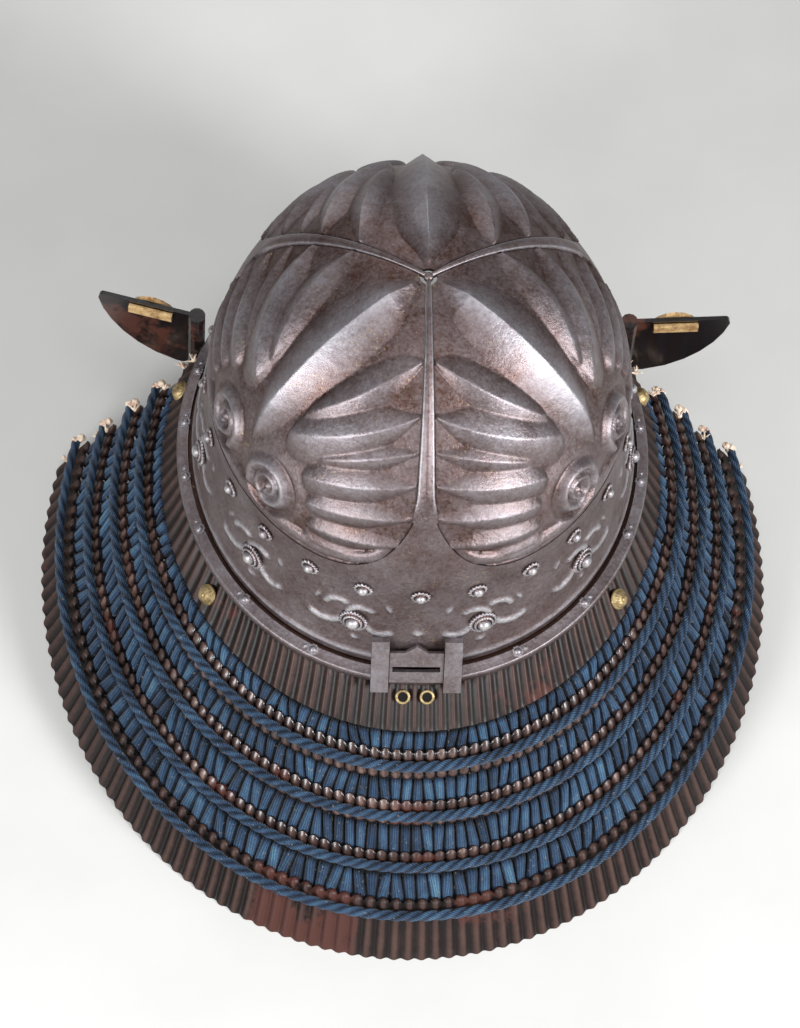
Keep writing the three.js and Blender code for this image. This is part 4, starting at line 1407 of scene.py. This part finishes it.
    def clump(self, shells: Shells, centre: Array, radius: float, tilt: Array) -> None:
        """A lumpy ball of cord end: a turned circle whose radius swells in five lobes.

        Args:
            shells: Collector of the surfaces.
            centre: Middle of the ball in millimetres.
            radius: Radius in millimetres.
            tilt: How far its axis leans sideways and up.
        """
        turn = np.linspace(0, np.pi, 9)
        lobes = 0.24 * np.sin(turn) ** 2 * np.cos(2.2 * turn)
        rows = np.stack([np.sin(turn), np.cos(turn), np.full(9, 0.5), lobes], -1)
        aim = np.array([tilt[0], -1.0, tilt[1]])
        shells.turned(Turning(rows, 30, 5), seat_at(centre, aim / np.linalg.norm(aim)), radius)

    def thread(self, shells: Shells, foot: Array, aim: Array, length: float, radius: float) -> None:
        """A tapering thread from a foot along a direction, sagging by the square of the way along.

        Args:
            shells: Collector of the surfaces.
            foot: Where it starts, in millimetres.
            aim: Unit direction.
            length: Length in millimetres.
            radius: Radius at its foot in millimetres.
        """
        t = np.linspace(0, 1, 5)[:, None, None]
        a = circle(5)[None, :, None]
        side = np.cross(aim, [0.3, 0.2, 1.0])
        side = side / np.linalg.norm(side)
        up = np.cross(side, aim)
        path = foot + aim * length * t - UP * t**2 * length * 0.3
        wide = radius * (1 - 0.75 * t)
        shells.loft(path + side * np.cos(a) * wide + up * np.sin(a) * wide, 0.5)


@dataclass(frozen=True)
class CadPieces:
    """CAD nodes that stay as they are, with a small bevel and a finish of their own."""

    bevel: float = 0.45

    def dress(self, frame: dict, finishes: dict[str, Material]) -> None:
        """Bevel and finish each node.

        Args:
            finishes: Node name to material.
        """
        for name, finish in finishes.items():
            node = frame["nodes"][name]
            node.data.materials.clear()
            node.data.materials.append(finish)
            edge = node.modifiers.new("worn_edge", "BEVEL")
            edge.width = self.bevel / 1000
            edge.segments = 3
            edge.limit_method = "ANGLE"
            edge.angle_limit = 40 * DEG
            log.info("%s: kept and finished", name)


@dataclass(frozen=True)
class Lamp:
    """An area light turned toward the bowl: its place and side in metres, and its power in watts."""

    name: str
    place: tuple[float, float, float]
    side: float
    power: float


LAMPS = (
    Lamp("key", (1.15, 1.35, 0.95), 0.7, 44),
    Lamp("side", (-1.3, 1.1, 1.05), 0.6, 58),
    Lamp("top", (0.0, 0.5, 2.0), 0.5, 10),
    Lamp("front", (0.3, -1.6, 1.4), 1.2, 13),
)


@dataclass(frozen=True)
class Studio:
    """Plain pale floor, soft lights and the camera at the photograph's angle.

    Angles are in degrees, the distance is in millimetres, and the scale is in pixels a millimetre at the
    aim. aim_px is where the point on the bowl's axis, aim_height metres up, lands in the picture.
    """

    azimuth: float = 174.8
    elevation: float = 61.38
    roll: float = 5.24
    distance: float = 2681.7
    scale: float = 2.032
    aim_px: tuple[float, float] = (411.73, 461.75)
    frame_px: tuple[int, int] = (800, 1028)
    aim_height: float = 0.1
    sensor: float = 36.0
    floor_half: float = 9.0
    world_strength: float = 0.34

    def build(self, floor_finish: Material) -> None:
        """Set up the floor, the lights, the world and the camera.

        Args:
            floor_finish: Material of the floor.
        """
        reach = self.floor_half
        grid = bpy.data.meshes.new("studio_floor")
        grid.from_pydata([(-reach, -reach, 0), (reach, -reach, 0), (reach, reach, 0), (-reach, reach, 0)],
                         [], [(0, 1, 2, 3)])
        grid.materials.append(floor_finish)
        floor = bpy.data.objects.new("studio_floor", grid)
        bpy.context.scene.collection.objects.link(floor)
        for lamp in LAMPS:
            self.light(lamp)
        world = bpy.data.worlds.new("studio")
        world.use_nodes = True
        world.node_tree.nodes["Background"].inputs[0].default_value = linear("#dfe3e8")
        world.node_tree.nodes["Background"].inputs[1].default_value = self.world_strength
        bpy.context.scene.world = world
        bpy.context.scene.view_settings.view_transform = "Standard"
        self.camera()

    def light(self, lamp: Lamp) -> None:
        """Hang one lamp.

        Args:
            lamp: Its place, size and power.
        """
        data = bpy.data.lights.new(lamp.name, "AREA")
        data.energy = lamp.power
        data.color = (0.95, 0.975, 1.0)
        data.size = lamp.side
        light = bpy.data.objects.new(lamp.name, data)
        light.location = lamp.place
        toward = Vector((0, 0, self.aim_height)) - Vector(lamp.place)
        light.rotation_euler = toward.to_track_quat("-Z", "Y").to_euler()
        bpy.context.scene.collection.objects.link(light)

    def camera(self) -> None:
        """Stand the camera at its distance and turn it so that the bowl's axis lands where it should."""
        a, e, r = self.azimuth * DEG, self.elevation * DEG, self.roll * DEG
        away = Vector((math.sin(a) * math.cos(e), -math.cos(a) * math.cos(e), math.sin(e)))
        right = Vector((math.cos(a), math.sin(a), 0))
        up = away.cross(right)
        target = Vector((0, ORIGIN[1] / 1000, self.aim_height))
        du, dv = ((size / 2 - aim) / self.scale / 1000 for size, aim in zip(self.frame_px, self.aim_px))
        across = du * math.cos(r) + dv * math.sin(r)
        down = -du * math.sin(r) + dv * math.cos(r)
        place = target + away * self.distance / 1000
        forward = (target + right * across - up * down - place).normalized()
        turned_right = right * math.cos(r) + up * math.sin(r)
        side = (turned_right - forward * turned_right.dot(forward)).normalized()
        over = side.cross(forward)
        lens = bpy.data.cameras.new("photo_camera")
        lens.sensor_width = self.sensor
        lens.sensor_fit = "AUTO"
        lens.lens = self.scale * self.distance / self.frame_px[1] * self.sensor
        lens.clip_end = 20
        view = bpy.data.objects.new("photo_camera", lens)
        frame = Matrix((side, over, -forward)).transposed().to_4x4()
        frame.translation = place
        view.matrix_world = frame
        bpy.context.scene.collection.objects.link(view)
        bpy.context.scene.camera = view


def main() -> None:
    """Load the frame, set up the studio and build each sub-assembly."""
    global ORIGIN, BODY
    logging.basicConfig(level=logging.INFO, format="%(name)s: %(message)s")
    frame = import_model()
    BODY = next(iter(frame["bodies"]))
    low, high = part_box("koshimaki_band")
    ORIGIN = np.array([500 * (low[0] + high[0]), 500 * (low[1] + high[1]), 0.0])
    # Aged iron: the bowl's relief reads from its rubbed crests, and the bracket is evenly grey
    iron = RussetIron("russet_iron_patina").build()
    forged = RussetIron("russet_iron_forged", embossed=False).build()
    # Lacquer: glints on the bead rows, dull flutes above and below them, and glossy brown end plates
    lacquer = UrushiLacquer("urushi_lacquer").build()
    dull = UrushiLacquer("urushi_lacquer_rubbed_dull", brown="#4d3930", gloss=0.12).build()
    brim = UrushiLacquer("urushi_lacquer_brown", worn="#45261c", gloss=1.3).build()
    # The blue between the dark lames, the dull yellow of the studs and the warmer gold of the plates
    silk = IndigoSilk("indigo_silk_braid").build()
    brass = RubbedMetal("rubbed_brass").build()
    gilt = RubbedMetal("gilded_copper", bright="#dcb781", tarnish="#8d6540", glint="#f2dcae",
                       roughness=0.4, metallic=0.55).build()
    # Pale cord ends, painted shade for the eyelets' holes and a quiet floor
    cream = PlainFinish("frayed_raw_silk").build()
    dark = PlainFinish("hole_shadow", colour="#070505", second="#0d0a08").build()
    paper = PlainFinish("studio_floor_paint", colour="#bfbdb9", second="#bbb9b5", size=90).build()
    Studio().build(paper)
    Bowl().build(iron)
    Studs().build(iron, brass, dark)
    Skirt().build(lacquer, dull, silk, cream)
    CadPieces().dress(frame, {
        "turnback_left": brim, "turnback_right": brim, "crest_disc_left": gilt,
        "crest_disc_right": gilt, "crest_bar_left": gilt, "crest_bar_right": gilt,
        "bracket_post_left": forged, "bracket_post_right": forged, "bracket_plate": forged,
    })


if __name__ == "__main__":
    main()
